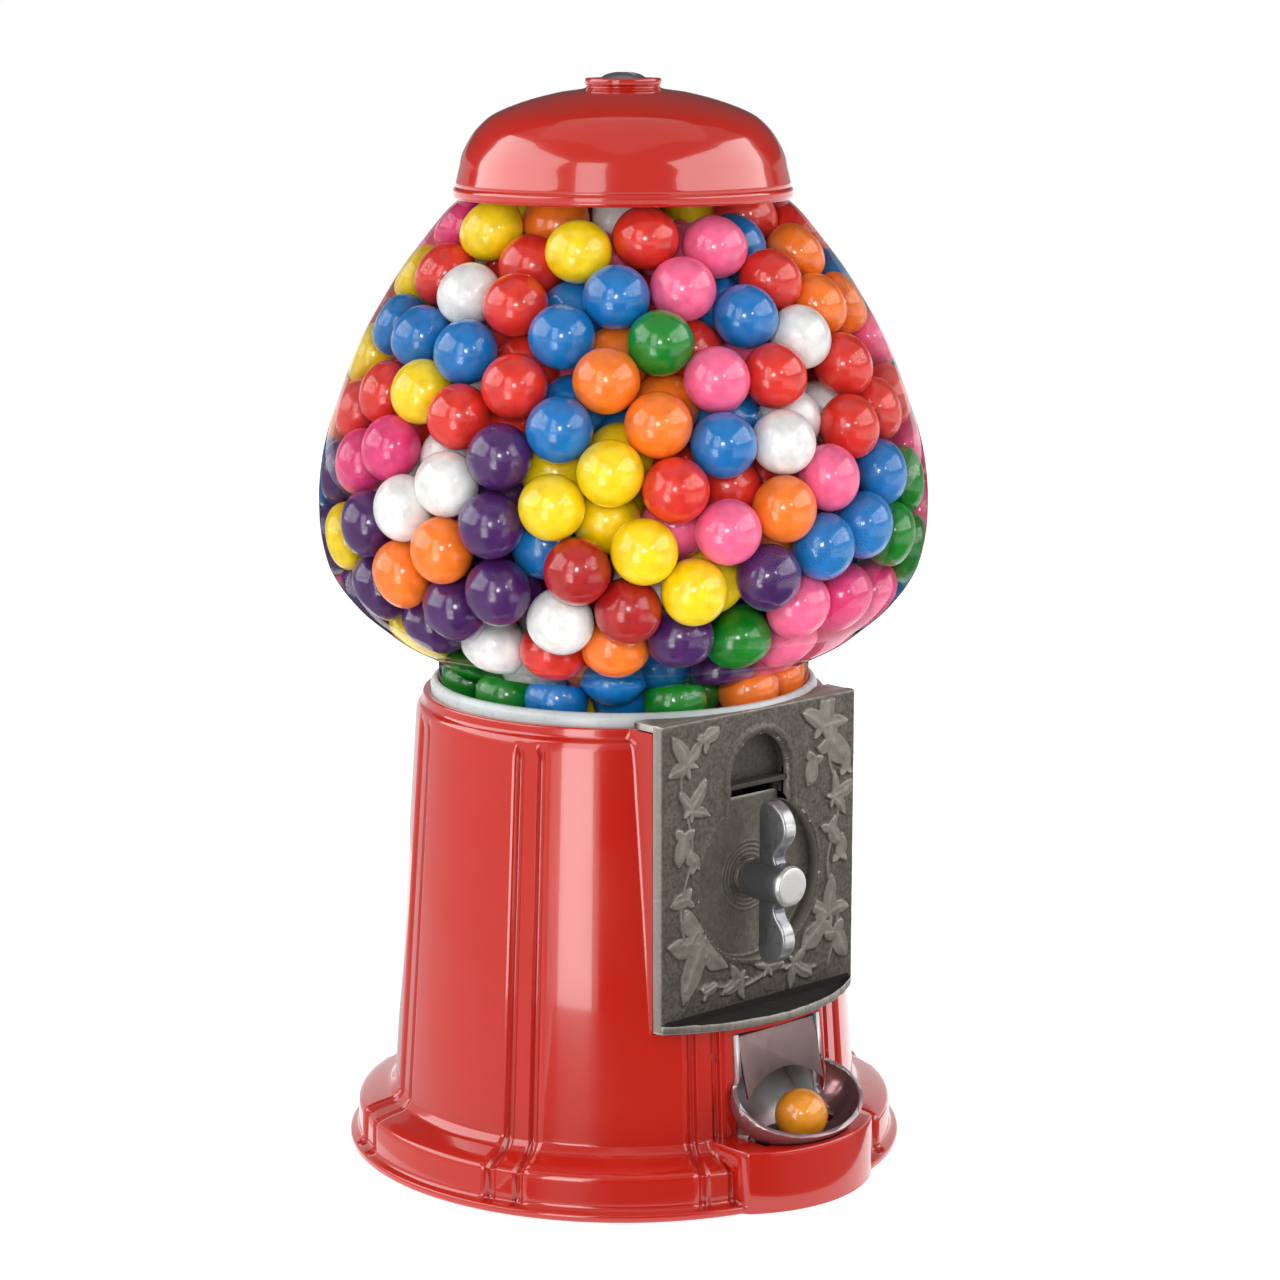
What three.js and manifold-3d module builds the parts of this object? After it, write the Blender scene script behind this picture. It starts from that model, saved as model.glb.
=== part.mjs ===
// Tabletop gumball machine: cast base with a coin mechanism, glass globe and screwed-down lid.
// Millimetres, +Z up. The origin is on the floor under the middle of the base, and the front of
// the machine, with its coin plate and chute, faces -Y. Depths called "out" are measured from
// the vertical axis towards the front, so a point that lies `out` in front has y = -out.
import * as THREE from 'three';
import { mergeGeometries, mergeVertices } from 'three/addons/utils/BufferGeometryUtils.js';
import Module from 'manifold-3d';

const wasm = await Module();
wasm.setup();
const degrees = THREE.MathUtils.degToRad;

// ---- driving dimensions ----
const GAP = 0.3;                 // clearance between pieces that touch
const SECTORS = 8;               // flute groups round the body, one in each sector

// body
const FOOT_R = 100;
const BAND_R = 97;
const WAIST_R = 83.5;            // body radius where it meets the base ring
const NECK_R = 74.2;             // body radius at the shoulder
const BODY_BOTTOM = 0.8;
const RING_TOP = 19.3;
const BASE_PLATE = [2.2, 3.8];   // bottom and top of the plate that closes the base
const BASE_PLATE_R = 93.4;
const BASE_HOLE_R = 20;          // the coins come out here, behind the plug
const SHOULDER_Z = 158;
const BODY_WALL = 2.5;
const FLUTE_DEPTH = 1.6;
const PANEL_OUT = 65.5;          // flat front panel that carries the face plate
const PANEL_HALF = 46.5;
const SHELF_Z = 61;              // the panel starts at this shelf
const PANEL_TOP = 165;
const BAY_TOP = 22.5;            // low bay under the chute
const BAY_HALF = 31;
const BAY_OUT = 106;
const BAY_ARC_R = 50;

// globe seat
const SEAT_Z = 163.2;            // top of the inward lip that the globe seal sits on
const SEAT_INNER_R = 62;
const SEAL_R = 68.8;
const SEAL_TOP = 169.5;

// globe
const NECK_GLASS_R = 66;
const GLASS = 2.6;
const GLASS_BOTTOM = 165.3;
const GLOBE_TOP = 343.5;
const GLOBE_NECK_R = 53.5;
const GLOBE_STEPS = 40;

// lid
const LID_R = 59;
const LID_RIM_Z = 338;
const COLLAR_R = 13.2;
const COLLAR_TOP = 379;
const TOTAL_HEIGHT = 381;

// coin mechanism
const SHAFT_Z = 108;
const SHAFT_R = 3;
const PLATE_OUT = 69.8;          // front face of the face plate
const PLATE_THICK = 4;
const PLATE_BOTTOM = 61.4;
const PLATE_TOP = 168;
const KNOB_RECESS_R = 29;
const KNOB_RECESS_OUT = 63.9;
const COIN_Z = 145;              // centre of the round coin recess
const COIN_R = 14;
const HOOD_OUT = 86.5;
const HOOD_R = 73.1;             // the hood's front edge is an arc of this radius
const FLANGE_BACK = 56;          // the plate's top corners hook back over the panel as far as this
const RATCHET_TEETH = 12;
const RATCHET_TIP_R = 17;
const RATCHET_ROOT_R = 14.4;
const RATCHET_DEPTH = [55.2, 57.4];
const PAWL_PIVOT = [24, 118];

// ball wheel and its gears
const HOUSING_FLOOR = [112.5, 114.5];
const WHEEL_R = 46.3;
const WHEEL_BORE_R = 7.1;
const WHEEL_BOTTOM = 119.6;
const WHEEL_TOP = 136;
const POCKETS = 5;
const POCKET_R = 11.8;
const POCKET_CIRCLE_R = 24;
const CROWN_TEETH = 40;
const CROWN_R = 42;              // pitch radius of the crown teeth under the wheel
const PINION_TEETH = 8;
const PINION_R = CROWN_R * PINION_TEETH / CROWN_TEETH;
const TOOTH_ADD = 1.3;
const TOOTH_FACE = 6;

// chute
const SLIDE_SUM = 98;            // the 45 degree slide lies where out + z is this much
const CHUTE_WALL = 1.6;
const BOWL = { out: 90, z: 36, outHalf: 19, sideHalf: 27.6, zHalf: 19 };
const CHUTE_HALF = 20.4;
const UPPER_CHUTE_HALF = 15;     // the chute is narrower between the ball wheel and the slide
const FLAP_HINGE = { out: 76.2, z: 55.6 };
const VENDED_R = 9.2;

// screws, posts and feet, as [x, z] on the front panel and [x, out] under the base
const PLATE_SCREWS = [[-40, 80], [40, 80], [-40, 152], [40, 152]];
const MECH_POSTS = [[-40, 92], [40, 92], [-40, 131], [40, 131]];
const CHUTE_SCREWS = [-24.4, 24.4];
const CHUTE_SCREW_Z = 50;
const BASE_SCREWS = fourAround(87);
const FEET = fourAround(74);

// ---- helpers ----
/** Four [x, out] places at that radius, between the four directions of the axes. */
function fourAround(r) {
  return [45, 135, 225, 315].map((turn) => [r * Math.sin(degrees(turn)), r * Math.cos(degrees(turn))]);
}

function finish(color, roughness, metalness) {
  return () => new THREE.MeshStandardMaterial({ color, roughness, metalness });
}

const RED = finish(0xc8190f, 0.18, 0.0);
const PEWTER = finish(0x7c766d, 0.5, 0.85);
const ZINC = finish(0x8d8f96, 0.35, 0.9);
const STEEL = finish(0xb9bcc0, 0.25, 1.0);
const CHROME = finish(0xd4d6d8, 0.1, 1.0);
const BRASS = finish(0xb8923f, 0.35, 1.0);
const RUBBER = finish(0x1d1d1e, 0.8, 0.0);
const SEAL = finish(0xf1f3f4, 0.35, 0.0);
const GLASS_CLEAR = () => new THREE.MeshStandardMaterial({
  color: 0xeef6f4, roughness: 0.05, transparent: true, opacity: 0.3,
});
const NYLON = finish(0xece8dc, 0.5, 0.0);
const GUM = finish(0xe23b2f, 0.25, 0.0);
const GUM_YELLOW = finish(0xe9a21c, 0.3, 0.0);

/** A geometry as a closed solid for joining and cutting. */
function solid(geometry) {
  const bare = geometry.clone();
  bare.deleteAttribute('normal');
  bare.deleteAttribute('uv');
  const merged = mergeVertices(bare, 1e-4);
  const at = merged.attributes.position;
  const corners = merged.index.array;
  const kept = [];
  let volume = 0;
  const [a, b, c] = [new THREE.Vector3(), new THREE.Vector3(), new THREE.Vector3()];
  for (let i = 0; i < corners.length; i += 3) {
    const [p, q, r] = corners.slice(i, i + 3);
    if (p === q || q === r || r === p) continue;
    kept.push([p, q, r]);
    a.fromBufferAttribute(at, p);
    b.fromBufferAttribute(at, q);
    c.fromBufferAttribute(at, r);
    volume += a.dot(b.cross(c));
  }
  const outward = volume < 0 ? kept.map(([p, q, r]) => [p, r, q]) : kept;
  const vertProperties = new Float32Array(at.array);
  const triVerts = new Uint32Array(outward.flat());
  return new wasm.Manifold(new wasm.Mesh({ numProp: 3, vertProperties, triVerts }));
}

function named(name, shape, material) {
  const { vertProperties, triVerts } = shape.getMesh();
  const geometry = new THREE.BufferGeometry();
  geometry.setAttribute('position', new THREE.BufferAttribute(vertProperties.slice(), 3));
  geometry.setIndex(new THREE.BufferAttribute(triVerts.slice(), 1));
  geometry.computeVertexNormals();
  const mesh = new THREE.Mesh(geometry, material());
  mesh.name = name;
  return mesh;
}

function joined(...shapes) {
  return shapes.reduce((all, next) => all.add(next));
}

function cut(shape, ...tools) {
  return tools.reduce((left, tool) => left.subtract(tool), shape);
}

/** Turns a closed [radius, z] outline about the vertical axis. */
function turned(outline, steps = 48) {
  const first = outline[0];
  const last = outline[outline.length - 1];
  const onAxis = first[0] === 0 && last[0] === 0;
  const points = (onAxis ? outline : [...outline, first]).map(([r, z]) => new THREE.Vector2(r, z));
  return solid(new THREE.LatheGeometry(points, steps).rotateX(Math.PI / 2));
}

/** A block given by its side-to-side, out and z limits. */
function block([left, right], [back, front], [bottom, top]) {
  const box = new THREE.BoxGeometry(right - left, front - back, top - bottom);
  return solid(box.translate((left + right) / 2, -(back + front) / 2, (bottom + top) / 2));
}

/** An upright cylinder or cone frustum. */
function upright(r, [bottom, top], x = 0, out = 0, steps = 24, topR = r) {
  const shape = new THREE.CylinderGeometry(topR, r, top - bottom, steps).rotateX(Math.PI / 2);
  return solid(shape.translate(x, -out, (bottom + top) / 2));
}

/** A cylinder that lies along the front-to-back direction. */
function level(r, [back, front], x, z, steps = 24) {
  return solid(new THREE.CylinderGeometry(r, r, front - back, steps).translate(x, -(back + front) / 2, z));
}

/** Extrudes an outline of [x, z] points from one depth to another. */
function plateOf(points, [back, front]) {
  const shape = new THREE.Shape(points.map(([x, z]) => new THREE.Vector2(x, z)));
  const depth = front - back;
  const flat = new THREE.ExtrudeGeometry(shape, { depth, bevelEnabled: false });
  return solid(flat.rotateX(Math.PI / 2).translate(0, -back, 0));
}

/** Extrudes an outline of [out, z] points sideways, centred on x. */
function sideways(points, [left, right]) {
  const shape = new THREE.Shape(points.map(([out, z]) => new THREE.Vector2(out, z)));
  const flat = new THREE.ExtrudeGeometry(shape, { depth: right - left, bevelEnabled: false });
  // the shape's x runs out to the front (-Y), its y up, and its depth along X
  const turn = new THREE.Matrix4().makeBasis(
    new THREE.Vector3(0, -1, 0),
    new THREE.Vector3(0, 0, 1),
    new THREE.Vector3(-1, 0, 0),
  );
  return solid(flat.applyMatrix4(turn).translate(right, 0, 0));
}

/** Extrudes an outline of [x, out] points upwards. */
function upwards(points, [bottom, top]) {
  const shape = new THREE.Shape(points.map(([x, out]) => new THREE.Vector2(x, -out)));
  const flat = new THREE.ExtrudeGeometry(shape, { depth: top - bottom, bevelEnabled: false });
  return solid(flat.translate(0, 0, bottom));
}

/** Points [x, out] on an arc about (0, centreOut), from one side of the front to the other. */
function frontArc(r, centreOut, halfWidth, steps) {
  const limit = Math.asin(halfWidth / r);
  return Array.from({ length: steps + 1 }, (_, i) => {
    const angle = limit * (2 * i / steps - 1);
    return [r * Math.sin(angle), centreOut + r * Math.cos(angle)];
  });
}

function ellipsoid(centre, [sideHalf, outHalf, zHalf], steps = 24) {
  const ball = new THREE.SphereGeometry(1, steps, steps / 2).scale(sideHalf, outHalf, zHalf);
  return solid(ball.translate(0, -centre.out, centre.z));
}

/** The ellipsoid of the chute's bowl, larger by that much all round. */
function bowlShape(extra = 0) {
  return ellipsoid(BOWL, [BOWL.sideHalf, BOWL.outHalf, BOWL.zHalf].map((half) => half + extra));
}

// ---- body ----
/** Each sector's steps, in degrees from its flute group's middle, with the flute's depth there. */
const SECTOR_STEPS = [
  [-5, 0], [-2.5, FLUTE_DEPTH], [0, 0.25 * FLUTE_DEPTH], [2.5, FLUTE_DEPTH], [5, 0],
  [11.8, 0], [18.6, 0], [26.4, 0], [33.2, 0],
];

/** A turned shape whose steps are moved to the sector angles, and pushed in along the flutes. */
function flutedLathe(outline, isFluted) {
  const points = outline.map(([r, z]) => new THREE.Vector2(r, z));
  const shape = new THREE.LatheGeometry(points, SECTORS * SECTOR_STEPS.length);
  const at = shape.attributes.position;
  for (let i = 0; i < at.count; i++) {
    const step = Math.floor(i / points.length);
    const [r, z] = outline[i % points.length];
    const [offset, depth] = SECTOR_STEPS[step % SECTOR_STEPS.length];
    const sector = Math.floor(step / SECTOR_STEPS.length) % SECTORS;
    const angle = degrees((sector + 0.5) * 360 / SECTORS + offset);
    const radius = isFluted(r, z) ? r - depth : r;
    at.setXYZ(i, radius * Math.sin(angle), -radius * Math.cos(angle), z);
  }
  return solid(shape);
}

function bodyShell() {
  const outline = [
    [0, BODY_BOTTOM], [FOOT_R, BODY_BOTTOM], [FOOT_R, 3.5], [BAND_R, 4], [BAND_R, 15],
    [BAND_R - 2, 16.6], [WAIST_R + 1, RING_TOP], [WAIST_R, RING_TOP + 2], [NECK_R, SHOULDER_Z],
    [NECK_R - 2.4, SEAT_Z], [NECK_R - 2.4, 165], [0, 165],
  ];
  const fluted = flutedLathe(outline, (r, z) => r > 0 && z > 3.6 && z < SHOULDER_Z + 1);
  const bayArc = frontArc(BAY_ARC_R, BAY_OUT - BAY_ARC_R, BAY_HALF, 12);
  const bay = upwards([[BAY_HALF, 70], [-BAY_HALF, 70], ...bayArc], [BODY_BOTTOM, BAY_TOP]);
  const frontCut = block([-70, 70], [PANEL_OUT, 130], [SHELF_Z, 200]);
  const boss = block([-PANEL_HALF, PANEL_HALF], [35, PANEL_OUT], [SHELF_Z, PANEL_TOP]);
  const outer = joined(cut(fluted, frontCut), boss, bay);

  const cavity = turned([
    [0, 0], [94, 0], [94, 12.5], [WAIST_R - 3, 16.5], [WAIST_R - BODY_WALL - 0.8, RING_TOP + 3],
    [NECK_R - BODY_WALL - FLUTE_DEPTH, SHOULDER_Z], [69.6, 160.5], [0, 160.5],
  ], 40);
  const wallKept = block([-70, 70], [PANEL_OUT - BODY_WALL, 130], [SHELF_Z - BODY_WALL, 200]);
  const bossCavity = block([-44, 44], [30, PANEL_OUT - BODY_WALL], [SHELF_Z - BODY_WALL, 160.5]);
  const innerArc = frontArc(BAY_ARC_R - 3, BAY_OUT - BAY_ARC_R, BAY_HALF - 3, 12);
  const bayCavity = upwards([[BAY_HALF - 3, 60], [3 - BAY_HALF, 60], ...innerArc], [0, BAY_TOP - 3]);
  const hollow = joined(cut(cavity, wallKept), bossCavity, bayCavity);

  const seatBore = upright(SEAT_INNER_R, [150, 180], 0, 0, 48);
  const sealRoom = upright(SEAL_R + GAP, [SEAT_Z, 180], 0, 0, 48);
  const mechanismHole = block([-34, 34], [55, 70], [72, 158]);
  const coinHole = block([-19, 19], [55, 70], [150, 162]);
  const doorway = [[60, 17], [88, 17], [95, 22.4], [95, 40], [86, 58.2], [60, 58.2]];
  const chuteDoorway = sideways(doorway, [-CHUTE_HALF - 0.4, CHUTE_HALF + 0.4]);
  const bowlRoom = bowlShape(0.4);
  const screwHoles = [...PLATE_SCREWS, ...MECH_POSTS].map(([x, z]) => level(2.2, [60, 70], x, z, 8));
  const posts = BASE_SCREWS.map(([x, out]) => upright(4, [4, 17], x, out, 8));
  const pilots = BASE_SCREWS.map(([x, out]) => upright(1.9, [3, 12.4], x, out, 8));
  const chuteBosses = CHUTE_SCREWS.map((x) => level(3.2, [71.7, 74.6], x, CHUTE_SCREW_Z, 8));
  const chutePilots = CHUTE_SCREWS.map((x) => level(1.9, [70, 76], x, CHUTE_SCREW_Z, 8));
  return cut(
    joined(cut(outer, hollow), ...posts, ...chuteBosses),
    seatBore, sealRoom, mechanismHole, coinHole, chuteDoorway, bowlRoom,
    ...screwHoles, ...pilots, ...chutePilots,
  );
}

/** A screw with a wide low head below or behind its shank. */
function uprightScrew(x, out, headBottom) {
  const head = upright(3.6, [headBottom, headBottom + 1.4], x, out, 12);
  return joined(head, upright(1.5, [headBottom + 1.2, headBottom + 10], x, out, 8));
}

function levelScrew(x, z, headBack, length) {
  const head = level(3.4, [headBack, headBack + 2], x, z, 12);
  const slot = block([x - 4, x + 4], [headBack - 1, headBack + 0.8], [z - 0.5, z + 0.5]);
  return joined(cut(head, slot), level(1.6, [headBack + 1.8, headBack + length], x, z, 8));
}

// ---- base ----
function bottomPlate() {
  const [low, high] = BASE_PLATE;
  const [inner, outer] = [BASE_HOLE_R, BASE_PLATE_R];
  const ring = turned([[inner, low], [outer, low], [outer, high], [inner, high]], 32);
  return cut(ring, ...BASE_SCREWS.map(([x, out]) => upright(2, [0, 6], x, out, 8)));
}

function coinPlug() {
  return turned([[0, 0.9], [24, 0.9], [24, 1.9], [19.6, 1.9], [18.8, 9], [16.5, 9], [16.5, 4], [0, 4]], 20);
}

function rubberFoot(x, out) {
  return upright(8, [0, BASE_PLATE[0] - GAP], x, out, 16, 7);
}

// ---- globe and lid ----
/** Outer radius of the glass, from its widest ring up to the lid. */
const GLOBE_UPPER = [
  [107, 230], [106, 246], [102.9, 260], [97.6, 275], [89.3, 294], [74.3, 318.5], [62, 333],
];
const GLOBE_LOWER = [[NECK_GLASS_R, 178], [79.7, 184.6], [92.7, 195], [100.7, 205], [105.2, 216]];

function globe() {
  const outer = [
    [NECK_GLASS_R, GLASS_BOTTOM], ...GLOBE_LOWER, ...GLOBE_UPPER, [57, 337.2],
    [GLOBE_NECK_R, 339.5], [GLOBE_NECK_R, GLOBE_TOP],
  ];
  const inner = [
    [NECK_GLASS_R - GLASS, GLASS_BOTTOM], [NECK_GLASS_R - GLASS, 180], [78.5, 187], [91, 197.2], [101.6, 213],
    [107 - GLASS, 230], [100.2, 260], [86.8, 294], [59, 333], [GLOBE_NECK_R - GLASS, 338.5],
    [GLOBE_NECK_R - GLASS, GLOBE_TOP],
  ];
  return turned([...outer, ...inner.reverse()], GLOBE_STEPS);
}

function globeSeal() {
  const innerWall = NECK_GLASS_R + GAP;
  return turned([
    [SEAT_INNER_R + 0.2, SEAT_Z + GAP], [SEAL_R, SEAT_Z + GAP], [SEAL_R, SEAL_TOP - 2],
    [SEAL_R - 1, SEAL_TOP], [innerWall, SEAL_TOP], [innerWall, GLASS_BOTTOM - GAP],
    [SEAT_INNER_R + 0.2, GLASS_BOTTOM - GAP],
  ], 40);
}

function lidSeal() {
  return turned([[50.6, GLOBE_TOP + GAP], [54.2, GLOBE_TOP + GAP], [54.2, 345.4], [50.6, 345.4]], 36);
}

function lid() {
  const outer = [
    [LID_R, LID_RIM_Z], [LID_R, 341.4], [58, 342.6], [56.1, 352.3], [54.1, 357], [50.8, 362],
    [44.9, 366.7], [33.8, 371.4], [COLLAR_R, 374.6], [COLLAR_R, COLLAR_TOP],
    [COLLAR_R - 2.6, COLLAR_TOP], [COLLAR_R - 3, 374.4], [3.5, 374.4],
  ];
  const inner = [
    [3.5, 371.8], [30, 370.4], [43, 365.4], [49, 360.5], [53.2, 354], [54.8, 347], [49.8, 345.7],
  ];
  const skirt = [[54.6, 345.6], [55.6, 343], [57, LID_RIM_Z]];
  return turned([...outer, ...inner, ...skirt], 36);
}

function lidNut() {
  return turned([
    [0, 379.1], [3.3, 379.1], [3.3, 374.8], [8.6, 374.8], [8.6, 379], [6.8, 380.4], [3.2, TOTAL_HEIGHT],
    [0, TOTAL_HEIGHT],
  ], 16);
}

function rodNut() {
  return cut(upright(5.8, [105.6, 110.4], 0, 0, 6), upright(SHAFT_R + GAP, [100, 115], 0, 0, 16));
}

function centreRod() {
  return upright(SHAFT_R, [103.5, 378.8], 0, 0, 16);
}

// ---- ball housing and wheel ----
function wheelHousing() {
  const [low, high] = HOUSING_FLOOR;
  const shell = turned([
    [3.5, low], [49, low], [49, 138], [60.4, 158], [69, 158], [69, 160.2],
    [60, 160.2], [47, 138.4], [47, high], [3.5, high],
  ], 40);
  const outlet = upright(12.3, [110, 118], 0, POCKET_CIRCLE_R, 32);
  const pinionSlot = block([-11.5, 11.5], [37.6, 46.6], [110, 118]);
  const panelSide = block([-70, 70], [PANEL_OUT - BODY_WALL - GAP, 90], [100, 170]);
  const coinRoom = block([-19.4, 19.4], [60.8, 90], [150, 170]);
  return cut(shell, outlet, pinionSlot, panelSide, coinRoom);
}

/** One crown tooth, hanging under the wheel at the given turn. */
function crownTooth(turn) {
  const root = WHEEL_BOTTOM + 0.2;
  const tip = SHAFT_Z + PINION_R - TOOTH_ADD;
  const shape = new THREE.Shape([
    new THREE.Vector2(-1.25, root),
    new THREE.Vector2(-0.6, tip),
    new THREE.Vector2(0.6, tip),
    new THREE.Vector2(1.25, root),
  ]);
  const tooth = new THREE.ExtrudeGeometry(shape, { depth: TOOTH_FACE, bevelEnabled: false });
  tooth.rotateX(Math.PI / 2).translate(0, -CROWN_R + TOOTH_FACE / 2, 0);
  return solid(tooth.rotateZ(turn));
}

function gumballWheel() {
  const [low, high] = [WHEEL_BOTTOM, WHEEL_TOP];
  const disc = turned([[WHEEL_BORE_R, low], [WHEEL_R, low], [WHEEL_R, high], [WHEEL_BORE_R, high]], 60);
  const pockets = Array.from({ length: POCKETS }, (_, i) => {
    const turn = 2 * Math.PI * i / POCKETS;
    const out = POCKET_CIRCLE_R * Math.cos(turn);
    return upright(POCKET_R, [low - 1, high + 1], POCKET_CIRCLE_R * Math.sin(turn), out, 20);
  });
  const teeth = Array.from({ length: CROWN_TEETH }, (_, i) => crownTooth(2 * Math.PI * i / CROWN_TEETH));
  return joined(cut(disc, ...pockets), ...teeth);
}

function wheelBushing() {
  return turned([[3.3, 114.9], [10, 114.9], [10, 119.2], [6.6, 119.2], [6.6, 137.6], [3.3, 137.6]], 16);
}

function outletCover() {
  const disc = turned([[9, 137], [46.6, 137], [46.6, 138.4], [9, 138.4]]);
  const sector = [[0, -6], [-40, 40], [-40, 60], [40, 60], [40, 40]];
  return disc.intersect(upwards(sector, [130, 140]));
}

/** The mass of balls that fills the globe, as one plain solid round the centre rod. */
function gumballFill() {
  return turned([
    [SHAFT_R + GAP, 139], [45, 139], [57, 159.6], [62.7, 166], [62.7, 180.6], [77.9, 187.7],
    [90.4, 197.7], [100.9, 213.2], [103.7, 230], [99.5, 260], [86.1, 294], [58.3, 333], [50.1, 337.6],
    [SHAFT_R + GAP, 337.6],
  ], GLOBE_STEPS);
}

// ---- face plate and knob ----
function circle(r, steps, centreX = 0, centreZ = 0, from = 0, to = 360) {
  const whole = to - from === 360;
  return Array.from({ length: whole ? steps : steps + 1 }, (_, i) => {
    const angle = degrees(from + (to - from) * i / steps);
    return [centreX + r * Math.cos(angle), centreZ + r * Math.sin(angle)];
  });
}

function facePlate() {
  const back = PLATE_OUT - PLATE_THICK;
  const panel = block([-PANEL_HALF, PANEL_HALF], [back, PLATE_OUT], [PLATE_BOTTOM, PLATE_TOP]);
  const topFlange = block([-PANEL_HALF, PANEL_HALF], [FLANGE_BACK, back + 1], [PANEL_TOP + GAP, PLATE_TOP]);
  const hoodArc = frontArc(HOOD_R, HOOD_OUT - HOOD_R, PANEL_HALF, 18);
  const hood = upwards([[PANEL_HALF, back + 1], [-PANEL_HALF, back + 1], ...hoodArc], [PLATE_BOTTOM, 64.2]);
  const dishArc = frontArc(HOOD_R - 1.8, HOOD_OUT - HOOD_R, PANEL_HALF - 3, 18);
  const dish = upwards([[PANEL_HALF - 3, PLATE_OUT], [3 - PANEL_HALF, PLATE_OUT], ...dishArc], [62.8, 66]);
  const arch = (r) => [...circle(r, 16, 0, COIN_Z, 0, 180), [-r, 128], [r, 128]];
  const archRim = plateOf(arch(17.6), [back + 1, PLATE_OUT + 0.9]);
  const knobRim = level(KNOB_RECESS_R + 1.2, [back + 1, PLATE_OUT + 0.4], 0, SHAFT_Z, 40);
  const knobCup = level(KNOB_RECESS_R + 2.4, [KNOB_RECESS_OUT - 2.2, back + 1], 0, SHAFT_Z, 28);
  const coinCup = plateOf(arch(COIN_R + 2), [KNOB_RECESS_OUT - 2.2, back + 1]);
  const knobRecess = level(KNOB_RECESS_R, [KNOB_RECESS_OUT, 80], 0, SHAFT_Z, 40);
  const coinRecess = plateOf(arch(COIN_R), [KNOB_RECESS_OUT, 80]);
  const ledge = block([-COIN_R - 1, COIN_R + 1], [KNOB_RECESS_OUT - 1, PLATE_OUT - 0.8], [140.6, 142.4]);
  const slot = block([-12.8, 12.8], [50, 68.6], [136.8, 140.2]);
  const bore = level(SHAFT_R + GAP, [50, 80], 0, SHAFT_Z, 24);
  const collar = level(6.2, [KNOB_RECESS_OUT - 1, KNOB_RECESS_OUT + 1.4], 0, SHAFT_Z, 24);
  const sealRoom = upright(SEAL_R + GAP, [SEAT_Z, 180], 0, 0, 48);
  const screwHoles = PLATE_SCREWS.map(([x, z]) => level(1.9, [60, PLATE_OUT - 1], x, z, 8));
  const postHoles = MECH_POSTS.map(([x, z]) => level(2, [60, PLATE_OUT - 1], x, z, 8));
  const blank = joined(panel, topFlange, hood, archRim, knobRim, knobCup, coinCup);
  const recessed = joined(cut(blank, knobRecess, coinRecess, dish), ledge, collar);
  return cut(recessed, slot, bore, sealRoom, ...screwHoles, ...postHoles);
}

/** The thumb-turn: a round hub with two ear-shaped wings, seen from its side. */
function knob() {
  const wing = [
    [72.2, 0], [71.6, 14], [71.6, 27], [73, 29], [77.5, 29], [83.6, 25.5], [85.4, 20.5], [84.4, 15.5],
    [80.4, 11.5], [79.6, 9], [82, 5.5], [82.5, 0],
  ];
  const lower = wing.slice(1, -1).reverse().map(([out, z]) => [out, -z]);
  const outline = [...wing, ...lower].map(([out, z]) => [out, SHAFT_Z + z]);
  const blade = sideways(outline, [-2.8, 2.8]);
  const hub = level(7.4, [67.2, 84.6], 0, SHAFT_Z, 28);
  const face = level(6.6, [84.4, 86], 0, SHAFT_Z, 28);
  const bore = level(SHAFT_R + GAP, [60, 80.4], 0, SHAFT_Z, 20);
  return cut(joined(blade, hub, face), bore);
}

function knobShaft() {
  return level(SHAFT_R, [38.5, 80], 0, SHAFT_Z, 20);
}

// ---- coin mechanism behind the plate ----
function coinWheel() {
  const disc = level(26, [57.8, 61], 0, SHAFT_Z, 48);
  const coinNotch = level(12.6, [56, 62], 0, SHAFT_Z + 27, 24);
  return cut(disc, coinNotch, level(SHAFT_R + GAP, [50, 70], 0, SHAFT_Z, 20));
}

function ratchetWheel() {
  const outline = [];
  for (let i = 0; i < RATCHET_TEETH; i++) {
    const turn = 2 * Math.PI * i / RATCHET_TEETH;
    outline.push([RATCHET_ROOT_R * Math.cos(turn), SHAFT_Z + RATCHET_ROOT_R * Math.sin(turn)]);
    outline.push([RATCHET_TIP_R * Math.cos(turn + 0.04), SHAFT_Z + RATCHET_TIP_R * Math.sin(turn + 0.04)]);
  }
  return cut(plateOf(outline, RATCHET_DEPTH), level(SHAFT_R + GAP, [50, 60], 0, SHAFT_Z, 20));
}

function ratchetPawl() {
  const [x, z] = PAWL_PIVOT;
  const arm = [
    [x - 8.4, z - 1.5], [x - 6, z - 3], [x + 1, z - 3], [x + 3, z],
    [x + 4, z + 7], [x + 1, z + 7], [x - 1, z + 2.6],
  ];
  const boss = level(3.2, RATCHET_DEPTH, x, z, 16);
  return cut(joined(plateOf(arm, RATCHET_DEPTH), boss), level(1.7, [50, 60], x, z, 12));
}

function pawlPin() {
  return level(1.4, [51.4, 57.6], ...PAWL_PIVOT, 12);
}

/** A small coil spring that pushes the pawl's tail, lying across the mechanism plate. */
function pawlSpring() {
  const [x, z] = [PAWL_PIVOT[0] - 9.6, PAWL_PIVOT[1] + 5.6];
  const turns = 3;
  const length = 9.6;
  const r = 1.05;
  const points = Array.from({ length: turns * 8 + 1 }, (_, i) => {
    const angle = 2 * Math.PI * i / 8;
    const along = length * i / (turns * 8);
    return new THREE.Vector3(x + along, -56.3 + r * Math.cos(angle), z + r * Math.sin(angle));
  });
  const path = new THREE.CatmullRomCurve3(points);
  const wire = new THREE.Shape(circle(0.3, 5).map(([a, b]) => new THREE.Vector2(a, b)));
  const steps = turns * 8;
  return solid(new THREE.ExtrudeGeometry(wire, { extrudePath: path, steps, bevelEnabled: false }));
}

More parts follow.
